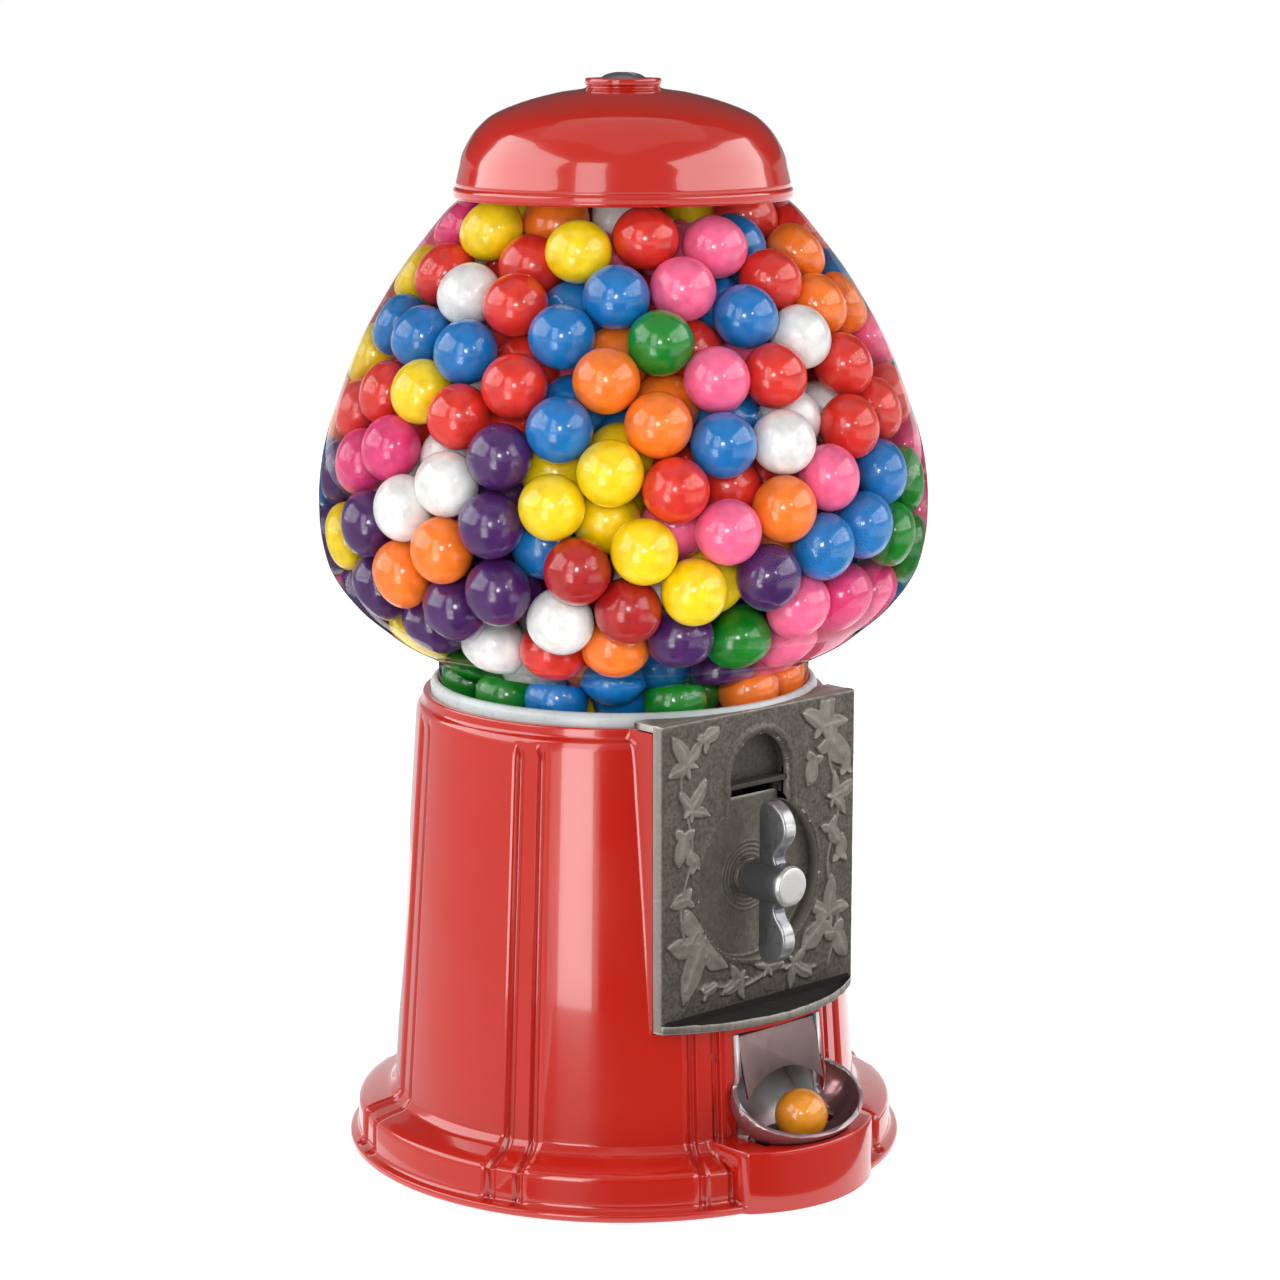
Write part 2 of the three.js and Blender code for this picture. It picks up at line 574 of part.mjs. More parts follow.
function mechPlate() {
  const panel = block([-43.4, 43.4], [52, 54.4], [86.5, 137.6]);
  const post = block([13.2, 14.2], [54.2, 57.6], [121, 127]);
  const bore = level(SHAFT_R + GAP, [50, 60], 0, SHAFT_Z, 20);
  const boss = level(6.4, [50.6, 52.2], 0, SHAFT_Z, 20);
  const holes = MECH_POSTS.map(([x, z]) => level(1.9, [50, 56], x, z, 8));
  const pinHole = level(1.7, [50, 56], ...PAWL_PIVOT, 12);
  return cut(joined(panel, post, boss), bore, pinHole, ...holes);
}

/** A curved strip that keeps the coin in its notch until it has passed to the right of the chute. */
function coinGuide() {
  const arc = (r, from, to) => circle(r, 12, 0, SHAFT_Z, from, to);
  const strip = [...arc(41.2, -4, 74), ...arc(39.8, -4, 74).reverse()];
  return plateOf(strip, [54.7, 61.2]);
}

/** A shouldered post that stands the mechanism plate off the face plate, with its screw end behind. */
function mechPost([x, z]) {
  const spacer = level(3.2, [54.7, 61.2], x, z, 12);
  const front = level(1.6, [61, PLATE_OUT - 1.4], x, z, 8);
  const back = level(1.6, [50.4, 54.9], x, z, 8);
  const nut = level(3.2, [49.2, 51.6], x, z, 6);
  return joined(spacer, front, back, nut);
}

function shaftCollar() {
  return cut(level(4.2, [47, 50.2], 0, SHAFT_Z, 16), level(SHAFT_R + GAP, [40, 60], 0, SHAFT_Z, 20));
}

function drivePinion() {
  const face = [CROWN_R - TOOTH_FACE / 2 - 0.4, CROWN_R + TOOTH_FACE / 2 + 0.4];
  const hub = level(PINION_R - TOOTH_ADD - 0.9, face, 0, SHAFT_Z, 32);
  const tip = PINION_R + TOOTH_ADD;
  const side = PINION_R - 0.8;
  const toothOutline = [[-1.5, 5], [-1.3, side], [-0.55, tip], [0.55, tip], [1.3, side], [1.5, 5]];
  const teeth = Array.from({ length: PINION_TEETH }, (_, i) => {
    const turn = 2 * Math.PI * (i + 0.5) / PINION_TEETH;
    return plateOf(toothOutline.map(([x, z]) => {
      return [x * Math.cos(turn) - z * Math.sin(turn), SHAFT_Z + x * Math.sin(turn) + z * Math.cos(turn)];
    }), face);
  });
  return cut(joined(hub, ...teeth), level(SHAFT_R + GAP, [30, 60], 0, SHAFT_Z, 20));
}

// ---- chute ----
/** A rod on the flap's hinge line. */
function hingeRod(r, length, steps = 12) {
  const rod = new THREE.CylinderGeometry(r, r, length, steps).rotateZ(Math.PI / 2);
  return solid(rod.translate(0, -FLAP_HINGE.out, FLAP_HINGE.z));
}

function chute() {
  const under = SLIDE_SUM - CHUTE_WALL * Math.SQRT2;
  const upperSide = [[9.2, 111.6], [9.2, under - 9.2], [52, under - 52], [56, 60], [38.2, 92], [38.2, 111.6]];
  const upperRoom = [
    [10.8, 120], [10.8, SLIDE_SUM - 10.8], [62, SLIDE_SUM - 62], [62, 94.6], [36.6, 94.6], [36.6, 120],
  ];
  const lowerSide = [
    [50, under - 50], [74.6, under - 74.6], [84, 19.5], [86, 24], [81.6, 37], [79, 57.9],
    [62, 57.9], [50, 70],
  ];
  const lowerRoom = [[40, SLIDE_SUM - 40], [77, SLIDE_SUM - 77], [90, SLIDE_SUM - 77], [90, 90], [40, 90]];
  const upper = sideways(upperSide, [-UPPER_CHUTE_HALF, UPPER_CHUTE_HALF]);
  const lower = sideways(lowerSide, [-CHUTE_HALF, CHUTE_HALF]);
  // the scoop's rim slopes down from its side wings to the front lip
  const aboveRim = sideways([[60, 52.5], [84, 39], [106, 24.6], [140, 2.4], [140, 90], [60, 90]], [-50, 50]);
  const insideBody = upright(WAIST_R + 0.5, [0, 60], 0, 0, 48);
  const scoop = cut(bowlShape(), aboveRim, insideBody);
  const tray = cut(joined(upper, lower, scoop), bowlShape(-CHUTE_WALL));
  const rooms = [
    sideways(upperRoom, [CHUTE_WALL - UPPER_CHUTE_HALF, UPPER_CHUTE_HALF - CHUTE_WALL]),
    sideways(lowerRoom, [CHUTE_WALL - CHUTE_HALF, CHUTE_HALF - CHUTE_WALL]),
  ];
  const tabs = block([-28, 28], [69.8, 71.4], [46, 54]);
  const tabScrews = CHUTE_SCREWS.map((x) => level(1.9, [60, 80], x, CHUTE_SCREW_Z, 8));
  return cut(joined(tray, tabs), ...rooms, ...tabScrews, hingeRod(1.2, 60));
}

/** The flap that hangs over the doorway: a thin leaf with an arched lower edge, rolled round its pin. */
function chuteFlap() {
  const { out, z } = FLAP_HINGE;
  const half = CHUTE_HALF - CHUTE_WALL - 0.5;
  const lean = 7.6;              // how far the leaf's foot stands out in front of its hinge
  const leafSide = [[out + 0.6, z + 1.9], [out + 1.7, z + 1.7], [out + lean, 35], [out + lean - 1.1, 34.6]];
  const leaf = sideways(leafSide, [-half, half]);
  const archR = 26;
  const arch = level(archR, [70, 95], 0, 43 - archR, 40);
  return cut(joined(cut(leaf, arch), hingeRod(2, 2 * half, 20)), hingeRod(1.4, 60));
}

function flapPin() {
  return hingeRod(0.9, 2 * CHUTE_HALF + 0.4);
}

function vendedGumball() {
  const out = BOWL.out + 1;
  const bottom = BOWL.z - BOWL.zHalf + CHUTE_WALL + 0.2;
  return solid(new THREE.SphereGeometry(VENDED_R, 16, 10).translate(0, -out, bottom + VENDED_R));
}

// ---- assembly ----
const machine = new THREE.Group();
machine.add(
  named('body_shell', bodyShell(), RED),
  named('bottom_plate', bottomPlate(), STEEL),
  named('coin_plug', coinPlug(), RUBBER),
  named('globe_seal', globeSeal(), SEAL),
  named('globe', globe(), GLASS_CLEAR),
  named('lid_seal', lidSeal(), SEAL),
  named('lid', lid(), RED),
  named('lid_nut', lidNut(), ZINC),
  named('centre_rod', centreRod(), STEEL),
  named('rod_washer', turned([[3.3, 110.8], [8.6, 110.8], [8.6, 112.2], [3.3, 112.2]], 16), STEEL),
  named('rod_nut', rodNut(), STEEL),
  named('wheel_housing', wheelHousing(), ZINC),
  named('gumball_wheel', gumballWheel(), NYLON),
  named('wheel_bushing', wheelBushing(), BRASS),
  named('outlet_cover', outletCover(), STEEL),
  named('gumball_fill', gumballFill(), GUM),
  named('face_plate', facePlate(), PEWTER),
  named('knob', knob(), ZINC),
  named('knob_shaft', knobShaft(), STEEL),
  named('coin_wheel', coinWheel(), ZINC),
  named('ratchet_wheel', ratchetWheel(), STEEL),
  named('ratchet_pawl', ratchetPawl(), STEEL),
  named('pawl_pin', pawlPin(), STEEL),
  named('pawl_spring', pawlSpring(), STEEL),
  named('mech_plate', mechPlate(), STEEL),
  named('coin_guide', coinGuide(), STEEL),
  named('shaft_collar', shaftCollar(), BRASS),
  named('drive_pinion', drivePinion(), ZINC),
  named('chute', chute(), CHROME),
  named('chute_flap', chuteFlap(), CHROME),
  named('flap_pin', flapPin(), STEEL),
  named('vended_gumball', vendedGumball(), GUM_YELLOW),
);
const plateBack = PANEL_OUT - BODY_WALL - GAP;
PLATE_SCREWS.forEach(([x, z], i) => {
  machine.add(named(`plate_screw_${i + 1}`, levelScrew(x, z, plateBack - 2, 7.6), STEEL));
});
MECH_POSTS.forEach((place, i) => machine.add(named(`mech_post_${i + 1}`, mechPost(place), STEEL)));
CHUTE_SCREWS.forEach((x, i) => {
  machine.add(named(`chute_screw_${i + 1}`, levelScrew(x, CHUTE_SCREW_Z, 67.5, 8), STEEL));
});
BASE_SCREWS.forEach(([x, out], i) => {
  machine.add(named(`base_screw_${i + 1}`, uprightScrew(x, out, 0.5), STEEL));
});
FEET.forEach(([x, out], i) => machine.add(named(`foot_${i + 1}`, rubberFoot(x, out), RUBBER)));

export default machine;
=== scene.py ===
"""The looks of a tabletop gumball machine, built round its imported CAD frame.

Shapes are worked out in millimetres, as in the CAD source, and turned to metres when a mesh is made.
+Z is up and the front faces -Y. "out" is a distance in front of the vertical axis, so y = -out.
"""
import math

import bmesh
import bpy
import numpy as np
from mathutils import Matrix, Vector


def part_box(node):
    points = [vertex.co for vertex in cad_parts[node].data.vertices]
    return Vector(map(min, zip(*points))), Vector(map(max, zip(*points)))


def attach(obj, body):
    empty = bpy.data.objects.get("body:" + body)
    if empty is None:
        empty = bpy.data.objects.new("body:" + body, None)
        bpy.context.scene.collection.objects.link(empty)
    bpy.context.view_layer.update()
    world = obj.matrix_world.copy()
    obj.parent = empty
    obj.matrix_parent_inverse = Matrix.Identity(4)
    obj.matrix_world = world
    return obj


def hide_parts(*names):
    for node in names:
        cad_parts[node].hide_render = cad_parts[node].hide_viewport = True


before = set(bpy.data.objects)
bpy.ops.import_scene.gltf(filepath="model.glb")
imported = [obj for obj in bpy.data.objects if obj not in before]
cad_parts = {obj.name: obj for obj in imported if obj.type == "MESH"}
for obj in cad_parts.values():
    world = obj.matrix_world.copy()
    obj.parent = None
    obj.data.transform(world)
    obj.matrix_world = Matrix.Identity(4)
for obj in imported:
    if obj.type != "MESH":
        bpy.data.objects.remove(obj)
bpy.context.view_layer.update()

MM = 0.001


def box_mm(node):
    """Lowest and highest corner of a CAD node, in millimetres."""
    low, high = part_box(node)
    return np.array(low) / MM, np.array(high) / MM


# ---------------------------------------------------------------- outlines and meshes
def smoothstep(low, high, value):
    t = np.clip((value - low) / (high - low), 0, 1)
    return t * t * (3 - 2 * t)


def smooth_max(a, b, width):
    """The larger of two heights, with a fillet of about that width where they meet."""
    t = np.clip(0.5 + 0.5 * (a - b) / width, 0, 1)
    return b + (a - b) * t + width * t * (1 - t)


def filleted(corners, closed=True, steps=6):
    """An outline through (a, b, fillet radius) corners, with an arc at each corner that has a radius."""
    points = []
    count = len(corners)
    for i, (a, b, radius) in enumerate(corners):
        here = np.array([a, b], float)
        is_end = not closed and i in (0, count - 1)
        if radius == 0 or is_end:
            points.append(here)
            continue
        before = np.array(corners[i - 1][:2], float) - here
        after = np.array(corners[(i + 1) % count][:2], float) - here
        reach = min(radius, 0.45 * np.linalg.norm(before), 0.45 * np.linalg.norm(after))
        start = here + before / np.linalg.norm(before) * reach
        end = here + after / np.linalg.norm(after) * reach
        for t in np.linspace(0, 1, steps + 1):
            points.append((1 - t) ** 2 * start + 2 * t * (1 - t) * here + t * t * end)
    return np.array(points)


def spline(points, steps=6):
    """A smooth curve through the points."""
    p = np.array(points, float)
    p = np.vstack([2 * p[0] - p[1], p, 2 * p[-1] - p[-2]])
    made = []
    for i in range(1, len(p) - 2):
        a, b, c, d = p[i - 1:i + 3]
        for t in np.arange(steps) / steps:
            made.append(0.5 * (2 * b + (c - a) * t + (2 * a - 5 * b + 4 * c - d) * t * t
                               + (3 * b - a - 3 * c + d) * t ** 3))
    made.append(p[-2])
    return np.array(made)


def grid_faces(rows, columns, wrap_rows=False, wrap_columns=False):
    """Quads of a grid whose points are stored row by row."""
    i = np.arange(rows if wrap_rows else rows - 1)[:, None]
    j = np.arange(columns if wrap_columns else columns - 1)[None, :]
    i2, j2 = (i + 1) % rows, (j + 1) % columns
    quads = [i * columns + j, i * columns + j2, i2 * columns + j2, i2 * columns + j]
    return np.stack(np.broadcast_arrays(*quads), axis=-1).reshape(-1, 4)


def turned_points(outline, steps):
    """An [r, z] outline turned about the vertical axis: points, row by row up the outline."""
    angle = np.arange(steps) * 2 * math.pi / steps
    r, z = outline[:, 0][:, None], outline[:, 1][:, None]
    return np.stack([r * np.sin(angle), -r * np.cos(angle), z + 0 * angle], axis=-1).reshape(-1, 3)


def mesh_object(name, points, faces, crease=35):
    """A smooth-shaded object from points in millimetres, closed, and sharp at edges over crease degrees."""
    mesh = bpy.data.meshes.new(name)
    mesh.from_pydata((np.asarray(points) * MM).tolist(), [], [tuple(map(int, f)) for f in faces])
    tidy = bmesh.new()
    tidy.from_mesh(mesh)
    bmesh.ops.remove_doubles(tidy, verts=tidy.verts, dist=2e-6)
    bmesh.ops.dissolve_degenerate(tidy, edges=tidy.edges, dist=1e-7)
    bmesh.ops.recalc_face_normals(tidy, faces=tidy.faces)
    tidy.to_mesh(mesh)
    tidy.free()
    made = bpy.data.objects.new(name, mesh)
    bpy.context.scene.collection.objects.link(made)
    shade(made, crease)
    return made


def shade(made, crease=35):
    """Smooth shading, with sharp edges where faces meet at more than crease degrees."""
    mesh = made.data
    mesh.polygons.foreach_set("use_smooth", np.ones(len(mesh.polygons), bool))
    mesh.set_sharp_from_angle(angle=math.radians(crease))


def turned(name, outline, steps=160, closed=True, crease=35):
    """A turned piece. An open outline starts and ends on the axis."""
    outline = np.asarray(outline, float)
    points = turned_points(outline, steps)
    faces = grid_faces(len(outline), steps, wrap_rows=closed, wrap_columns=True)
    return mesh_object(name, points, faces, crease)


def prism(name, outline, low, high, place, crease=35):
    """An outline of (a, b) points pushed from low to high; place(a, b, c) gives each point in mm."""
    count = len(outline)
    points = [place(a, b, low) for a, b in outline] + [place(a, b, high) for a, b in outline]
    sides = [(i, (i + 1) % count, count + (i + 1) % count, count + i) for i in range(count)]
    faces = sides + [tuple(range(count)), tuple(range(count, 2 * count))]
    return mesh_object(name, points, faces, crease)


def frontal(x, z, out):
    return (x, -out, z)


def sidelong(out, z, x):
    return (x, -out, z)


def level(name, outline, x, z, steps=96, crease=35):
    """A turned piece about a front-to-back axis; the outline is [r, out] points."""
    outline = np.asarray(outline, float)
    angle = np.arange(steps) * 2 * math.pi / steps
    r, out = outline[:, 0][:, None], outline[:, 1][:, None]
    points = np.stack([x + r * np.cos(angle), -out + 0 * angle, z + r * np.sin(angle)], axis=-1)
    faces = grid_faces(len(outline), steps, wrap_rows=True, wrap_columns=True)
    return mesh_object(name, points.reshape(-1, 3), faces, crease)


def ellipse_ball(name, centre, halves, steps=96):
    turn = np.linspace(-math.pi / 2, math.pi / 2, steps // 2 + 1)
    made = turned(name, np.stack([np.cos(turn), np.sin(turn)], axis=-1), steps, closed=False)
    scale = np.array(halves)
    co = np.zeros(len(made.data.vertices) * 3, np.float32)
    made.data.vertices.foreach_get("co", co)
    moved = co.reshape(-1, 3) * scale + np.array(centre) * MM
    made.data.vertices.foreach_set("co", moved.astype(np.float32).ravel())
    made.data.update()
    return made


def combine(made, tool, operation="DIFFERENCE"):
    """Cuts the tool out of the piece, or joins it on, and removes the tool."""
    step = made.modifiers.new("combine", "BOOLEAN")
    step.operation = operation
    step.solver = "EXACT"
    step.object = tool
    apply_modifiers(made)
    bpy.data.objects.remove(tool)
    return made


def apply_modifiers(made):
    graph = bpy.context.evaluated_depsgraph_get()
    mesh = bpy.data.meshes.new_from_object(made.evaluated_get(graph))
    made.modifiers.clear()
    made.data = mesh


def bevelled(made, width, segments=3, angle=30):
    step = made.modifiers.new("edges", "BEVEL")
    step.width = width * MM
    step.segments = segments
    step.limit_method = "ANGLE"
    step.angle_limit = math.radians(angle)
    step.use_clamp_overlap = True
    apply_modifiers(made)
    shade(made, 40)
    return made


def merged(name, pieces):
    """Several objects as one, with the new name."""
    with bpy.context.temp_override(active_object=pieces[0], selected_editable_objects=pieces):
        bpy.ops.object.join()
    pieces[0].name = name
    return pieces[0]


def placed(made, body, slot, material, *nodes):
    made.data.materials.clear()
    made.data.materials.append(material)
    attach(made, body)
    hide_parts(*nodes)
    return made


# ---------------------------------------------------------------- materials
class Look:
    """A material's node tree with short calls for the nodes used here. Positions are in metres."""

    def __init__(self, name, roughness=0.5, metallic=0.0, **sockets):
        self.material = bpy.data.materials.new(name)
        self.material.use_nodes = True
        self.tree = self.material.node_tree
        self.shader = self.tree.nodes["Principled BSDF"]
        self.where = self.node("ShaderNodeTexCoord").outputs["Object"]
        self.set(Roughness=roughness, Metallic=metallic, **sockets)

    def set(self, **sockets):
        for socket, value in sockets.items():
            self.shader.inputs[socket.replace("_", " ")].default_value = value

    def node(self, kind, **inputs):
        made = self.tree.nodes.new(kind)
        for socket, value in inputs.items():
            self.feed(made.inputs[socket.replace("_", " ")], value)
        return made

    def feed(self, socket, value):
        if isinstance(value, bpy.types.NodeSocket):
            self.tree.links.new(value, socket)
        else:
            socket.default_value = value

    def noise(self, size, detail=3.0, stretch=(1, 1, 1), distortion=0.0):
        """Noise whose features are about size millimetres across."""
        scaled = self.node("ShaderNodeMapping", Vector=self.where, Scale=stretch)
        made = self.node("ShaderNodeTexNoise", Vector=scaled.outputs[0], Scale=1 / (size * MM),
                         Detail=detail, Distortion=distortion)
        return made.outputs["Fac"]

    def between(self, factor, low, high, to_low=0.0, to_high=1.0):
        made = self.node("ShaderNodeMapRange", Value=factor)
        for i, value in zip((1, 2, 3, 4), (low, high, to_low, to_high)):
            made.inputs[i].default_value = value
        return made.outputs[0]

    def mixed(self, factor, a, b, blend="MIX"):
        made = self.node("ShaderNodeMix")
        made.data_type = "RGBA"
        made.blend_type = blend
        for socket, value in ((0, factor), (6, a), (7, b)):
            self.feed(made.inputs[socket], value)
        return made.outputs[2]

    def maths(self, operation, a, b):
        made = self.node("ShaderNodeMath")
        made.operation = operation
        self.feed(made.inputs[0], a)
        self.feed(made.inputs[1], b)
        return made.outputs[0]

    def attribute(self, name):
        made = self.node("ShaderNodeAttribute")
        made.attribute_name = name
        return made.outputs["Fac"]

    def edges(self, low=0.5, high=0.56):
        """One on sharp outer edges, which the metals paint pale as wear and in places as a painted highlight,
        and nought elsewhere.
        """
        return self.between(self.node("ShaderNodeNewGeometry").outputs["Pointiness"], low, high)

    def colour(self, value):
        self.feed(self.shader.inputs["Base Color"], value)

    def rough(self, value):
        self.feed(self.shader.inputs["Roughness"], value)

    def bump(self, height, depth, strength=1.0):
        """Bump of that depth in millimetres."""
        made = self.node("ShaderNodeBump", Height=height, Strength=strength, Distance=depth * MM)
        before = self.shader.inputs["Normal"]
        if before.is_linked:
            self.feed(made.inputs["Normal"], before.links[0].from_socket)
        self.feed(before, made.outputs[0])


def rgb(r, g, b):
    """A colour given as it looks on a screen, 0 to 255, as a linear one."""
    def linear(c):
        c /= 255
        return c / 12.92 if c <= 0.04045 else ((c + 0.055) / 1.055) ** 2.4
    return (linear(r), linear(g), linear(b), 1.0)


def red_enamel():
    """Glossy red enamel: faint orange peel, a little unevenness of colour, tiny specks of dust."""
    look = Look("red_enamel", Coat_Weight=0.85, Coat_Roughness=0.04)
    tone = look.mixed(look.noise(45, 4), rgb(176, 23, 7), rgb(187, 29, 10))
    specks = look.between(look.noise(0.9, 2), 0.74, 0.8)
    look.colour(look.mixed(look.maths("MULTIPLY", specks, 0.5), tone, rgb(112, 9, 7)))
    look.rough(look.between(look.noise(30, 5), 0.3, 0.7, 0.12, 0.2))
    look.bump(look.noise(3.2, 2), 0.02, 0.35)
    look.bump(look.noise(0.5, 2), 0.004, 0.3)
    return look.material


def pewter():
    """Antiqued cast metal, granular all over: pale on the relief, from wear and a painted highlight, and near
    black in the hollows, from patina and painted shade.

    The mesh's "relief" attribute is 1 on the raised leaves, 0 on the flat and -1 in the deepest hollow. Its
    high value along the plate's top paints a highlight. Its low values in the coin pocket, the hood's dish
    and the plate's foot paint shade. A middling value paints the recess floors paler against the knob's
    shadow.
    """
    look = Look("pewter")
    height = look.attribute("relief")
    mottled = look.mixed(look.noise(6, 6), rgb(82, 78, 71), rgb(116, 111, 102))
    grainy = look.mixed(look.between(look.noise(1.4, 4), 0.38, 0.7), mottled, rgb(72, 68, 61))
    patchy = look.between(look.noise(4.5, 3), 0.2, 0.6, 0.35, 0.95)
    # Paler where the tone is high: wear on the raised leaves, and a painted highlight along the plate's top.
    wear_and_painted_highlight = look.maths("MULTIPLY", look.between(height, 0.25, 0.85), patchy)
    wear_and_painted_highlight_colour = look.mixed(wear_and_painted_highlight, grainy, rgb(140, 135, 125))
    shaded = look.mixed(look.between(height, -0.05, -1.0), wear_and_painted_highlight_colour, rgb(24, 22, 19))
    # Pale on sharp edges outside the dark places: edge wear, and along the plate's lit top edge a painted
    # highlight.
    bright = look.maths("MULTIPLY", look.edges(0.52, 0.6), look.between(height, -0.45, -0.2))
    look.colour(look.mixed(bright, shaded, rgb(196, 192, 183)))
    look.feed(look.shader.inputs["Metallic"], look.between(height, -0.2, -0.9, 0.62, 0.0))
    grain = look.between(look.noise(1.6, 4), 0.3, 0.7, 0.42, 0.62)
    look.rough(look.maths("MAXIMUM", grain, look.between(height, -0.2, -0.9, 0.0, 0.95)))
    look.bump(look.noise(0.55, 4), 0.12, 0.7)
    look.bump(look.noise(2.6, 4), 0.25, 0.6)
    return look.material


def plated(name, dark, light, roughness, grain=1.2, bump=0.02, wear_and_painted_highlight_colour=None, stretch=(1, 1, 1), metallic=1.0):
    """Plain metal with a fine grain, uneven polish and paler edges, as wear and in places as a painted
    highlight.

    A mesh's attribute read below, where it has one, is 1 where the metal is painted pale: handling wear, and
    on the knob's front a painted highlight.
    """
    look = Look(name, metallic=metallic)
    tone = look.mixed(look.noise(grain * 8, 5, stretch), dark, light)
    wear_and_painted_highlight = look.maths("MAXIMUM", look.edges(0.51, 0.58), look.attribute("wear_and_painted_highlight"))
    look.colour(look.mixed(wear_and_painted_highlight, tone, wear_and_painted_highlight_colour or light))
    look.rough(look.between(look.noise(grain * 2, 4, stretch), 0.3, 0.7, roughness * 0.75, roughness * 1.3))
    look.bump(look.noise(grain, 3, stretch), bump, 0.5)
    return look.material


def moulded(name, dark, light, roughness, grain=0.8, **sockets):
    """Rubber or plastic, slightly mottled, with a fine moulded grain."""
    look = Look(name, **sockets)
    look.colour(look.mixed(look.noise(grain * 12, 4), dark, light))
    look.rough(look.between(look.noise(grain * 3, 3), 0.3, 0.7, roughness * 0.85, roughness * 1.15))
    look.bump(look.noise(grain, 3), 0.03, 0.5)
    return look.material


def gum(name, colour):
    """A candy shell: glossy, faintly mottled and dimpled."""
    look = Look("gum_" + name, Coat_Weight=1.0, Coat_Roughness=0.1, Specular_IOR_Level=0.2)
    pale = tuple(min(1.0, c * 1.08 + 0.006) for c in colour[:3]) + (1.0,)
    deep = tuple(c * 0.80 for c in colour[:3]) + (1.0,)
    look.colour(look.mixed(look.between(look.noise(5, 5), 0.3, 0.7), deep, pale))
    look.rough(look.between(look.noise(4, 4), 0.3, 0.7, 0.3, 0.45))
    look.bump(look.noise(2.5, 3), 0.04, 0.3)
    return look.material


def clear_glass():
    """Clear moulded glass, slightly wavy and green, that lamps and reflections shine straight through.

    A view into it is bent only at the outer surface, so the index is low: a thin wall bends little.
    """
    look = Look("globe_glass", roughness=0.0, Transmission_Weight=1.0, IOR=1.12)
    look.colour(look.mixed(look.noise(60, 2), (0.985, 1.0, 0.975, 1), (1, 1, 1, 1)))
    look.bump(look.noise(22, 2), 0.25, 0.25)
    through = look.node("ShaderNodeBsdfTransparent", Color=(1, 1, 1, 1))
    ray = look.node("ShaderNodeLightPath").outputs
    shown = look.shader.outputs[0]
    for kind in ("Is Glossy Ray", "Is Shadow Ray"):
        joined = look.node("ShaderNodeMixShader")
        look.feed(joined.inputs[0], ray[kind])
        look.feed(joined.inputs[1], shown)
        look.feed(joined.inputs[2], through.outputs[0])
        shown = joined.outputs[0]
    look.feed(look.tree.nodes["Material Output"].inputs["Surface"], shown)
    return look.material


RED = red_enamel()
PEWTER = pewter()
ZINC = plated("zinc", rgb(106, 107, 112), rgb(146, 147, 152), 0.34, bump=0.04,
              wear_and_painted_highlight_colour=rgb(242, 241, 238), metallic=0.8)
STEEL = plated("steel", rgb(160, 163, 166), rgb(196, 198, 200), 0.28)
SATIN = plated("satin_sheet", rgb(122, 104, 103), rgb(142, 122, 120), 0.42, grain=2, stretch=(1, 1, 0.12))
# The scoop's metal is tinted maroon as a painted reflection of the red body round it.
SCOOP = plated("scoop_metal_painted_red_reflection", rgb(128, 82, 86), rgb(166, 124, 128), 0.2, grain=3, bump=0.006,
               wear_and_painted_highlight_colour=rgb(240, 240, 242), metallic=0.7)
BRASS = plated("brass", rgb(168, 132, 62), rgb(205, 170, 92), 0.3)
CAST_ZINC = plated("cast_zinc", rgb(120, 122, 126), rgb(150, 152, 155), 0.5, bump=0.08)
RUBBER = moulded("rubber", rgb(20, 20, 21), rgb(34, 34, 35), 0.75)
SEAL = moulded("seal", rgb(178, 184, 184), rgb(206, 211, 211), 0.3, Subsurface_Weight=0.1)
NYLON = moulded("nylon", rgb(214, 208, 192), rgb(234, 230, 218), 0.45)
GLASS = clear_glass()

GUM_COLOURS = {
    "red": rgb(208, 38, 24), "crimson": rgb(160, 16, 16), "blue": rgb(0, 106, 176),
    "white": rgb(226, 225, 224), "pink": rgb(238, 96, 140), "magenta": rgb(212, 50, 112),
    "orange": rgb(240, 116, 24), "yellow": rgb(240, 204, 2), "green": rgb(0, 116, 22),
    "purple": rgb(62, 20, 84),
}


# ---------------------------------------------------------------- body casting
BODY = box_mm("body_shell")
PLATE = box_mm("face_plate")
FOOT_R = BODY[1][0]
BAND_R = FOOT_R - 3
WAIST_R = FOOT_R - 16.5
NECK_R = FOOT_R - 25.8
BODY_BOTTOM = BODY[0][2]
BODY_TOP = BODY[1][2]
BAY_OUT = -BODY[0][1]
BAY_TOP, BAY_HALF, BAY_ARC_R = 22.5, 31, 50
PANEL_OUT = 65.5
PANEL_HALF = PLATE[1][0]
SHELF_Z = PLATE[0][2] - 0.4
SHOULDER_Z = BODY_TOP - 7
WALL_FOOT_Z = 21.3                # where the sloping wall would meet the waist
LIP_R = NECK_R - 4.9              # the gasket sits inside this lip
SEAT_R = 62
WALL = 2.5
FLUTE_DEPTH = 2.2
SECTOR = 45                       # degrees between flute groups
BAY_SWEEP = 30                    # degrees to each side that take in the bay
BOSS_SWEEP = 60                   # degrees to each side that take in the boss behind the plate
BOWL_CENTRE = (0, -90, 36)
BOWL_SIZES = (27.6, 19, 19)       # half its width, depth and height
SCOOP_HALF = 20.4                 # half the width of the chute's tray


def flute_depth(angle):
    """How deep the flutes are at an angle in degrees: two grooves with a low rib between, every sector."""
    across = np.abs((angle % SECTOR) - SECTOR / 2)
    grooves = np.exp(-((across - 3.1) / 1.15) ** 4)
    rib = 0.35 * (1 - smoothstep(1.7, 3.0, across))
    shoulder = 0.22 * (1 - smoothstep(4.2, 5.6, across))
    return FLUTE_DEPTH * np.maximum(np.maximum(grooves, rib), shoulder)


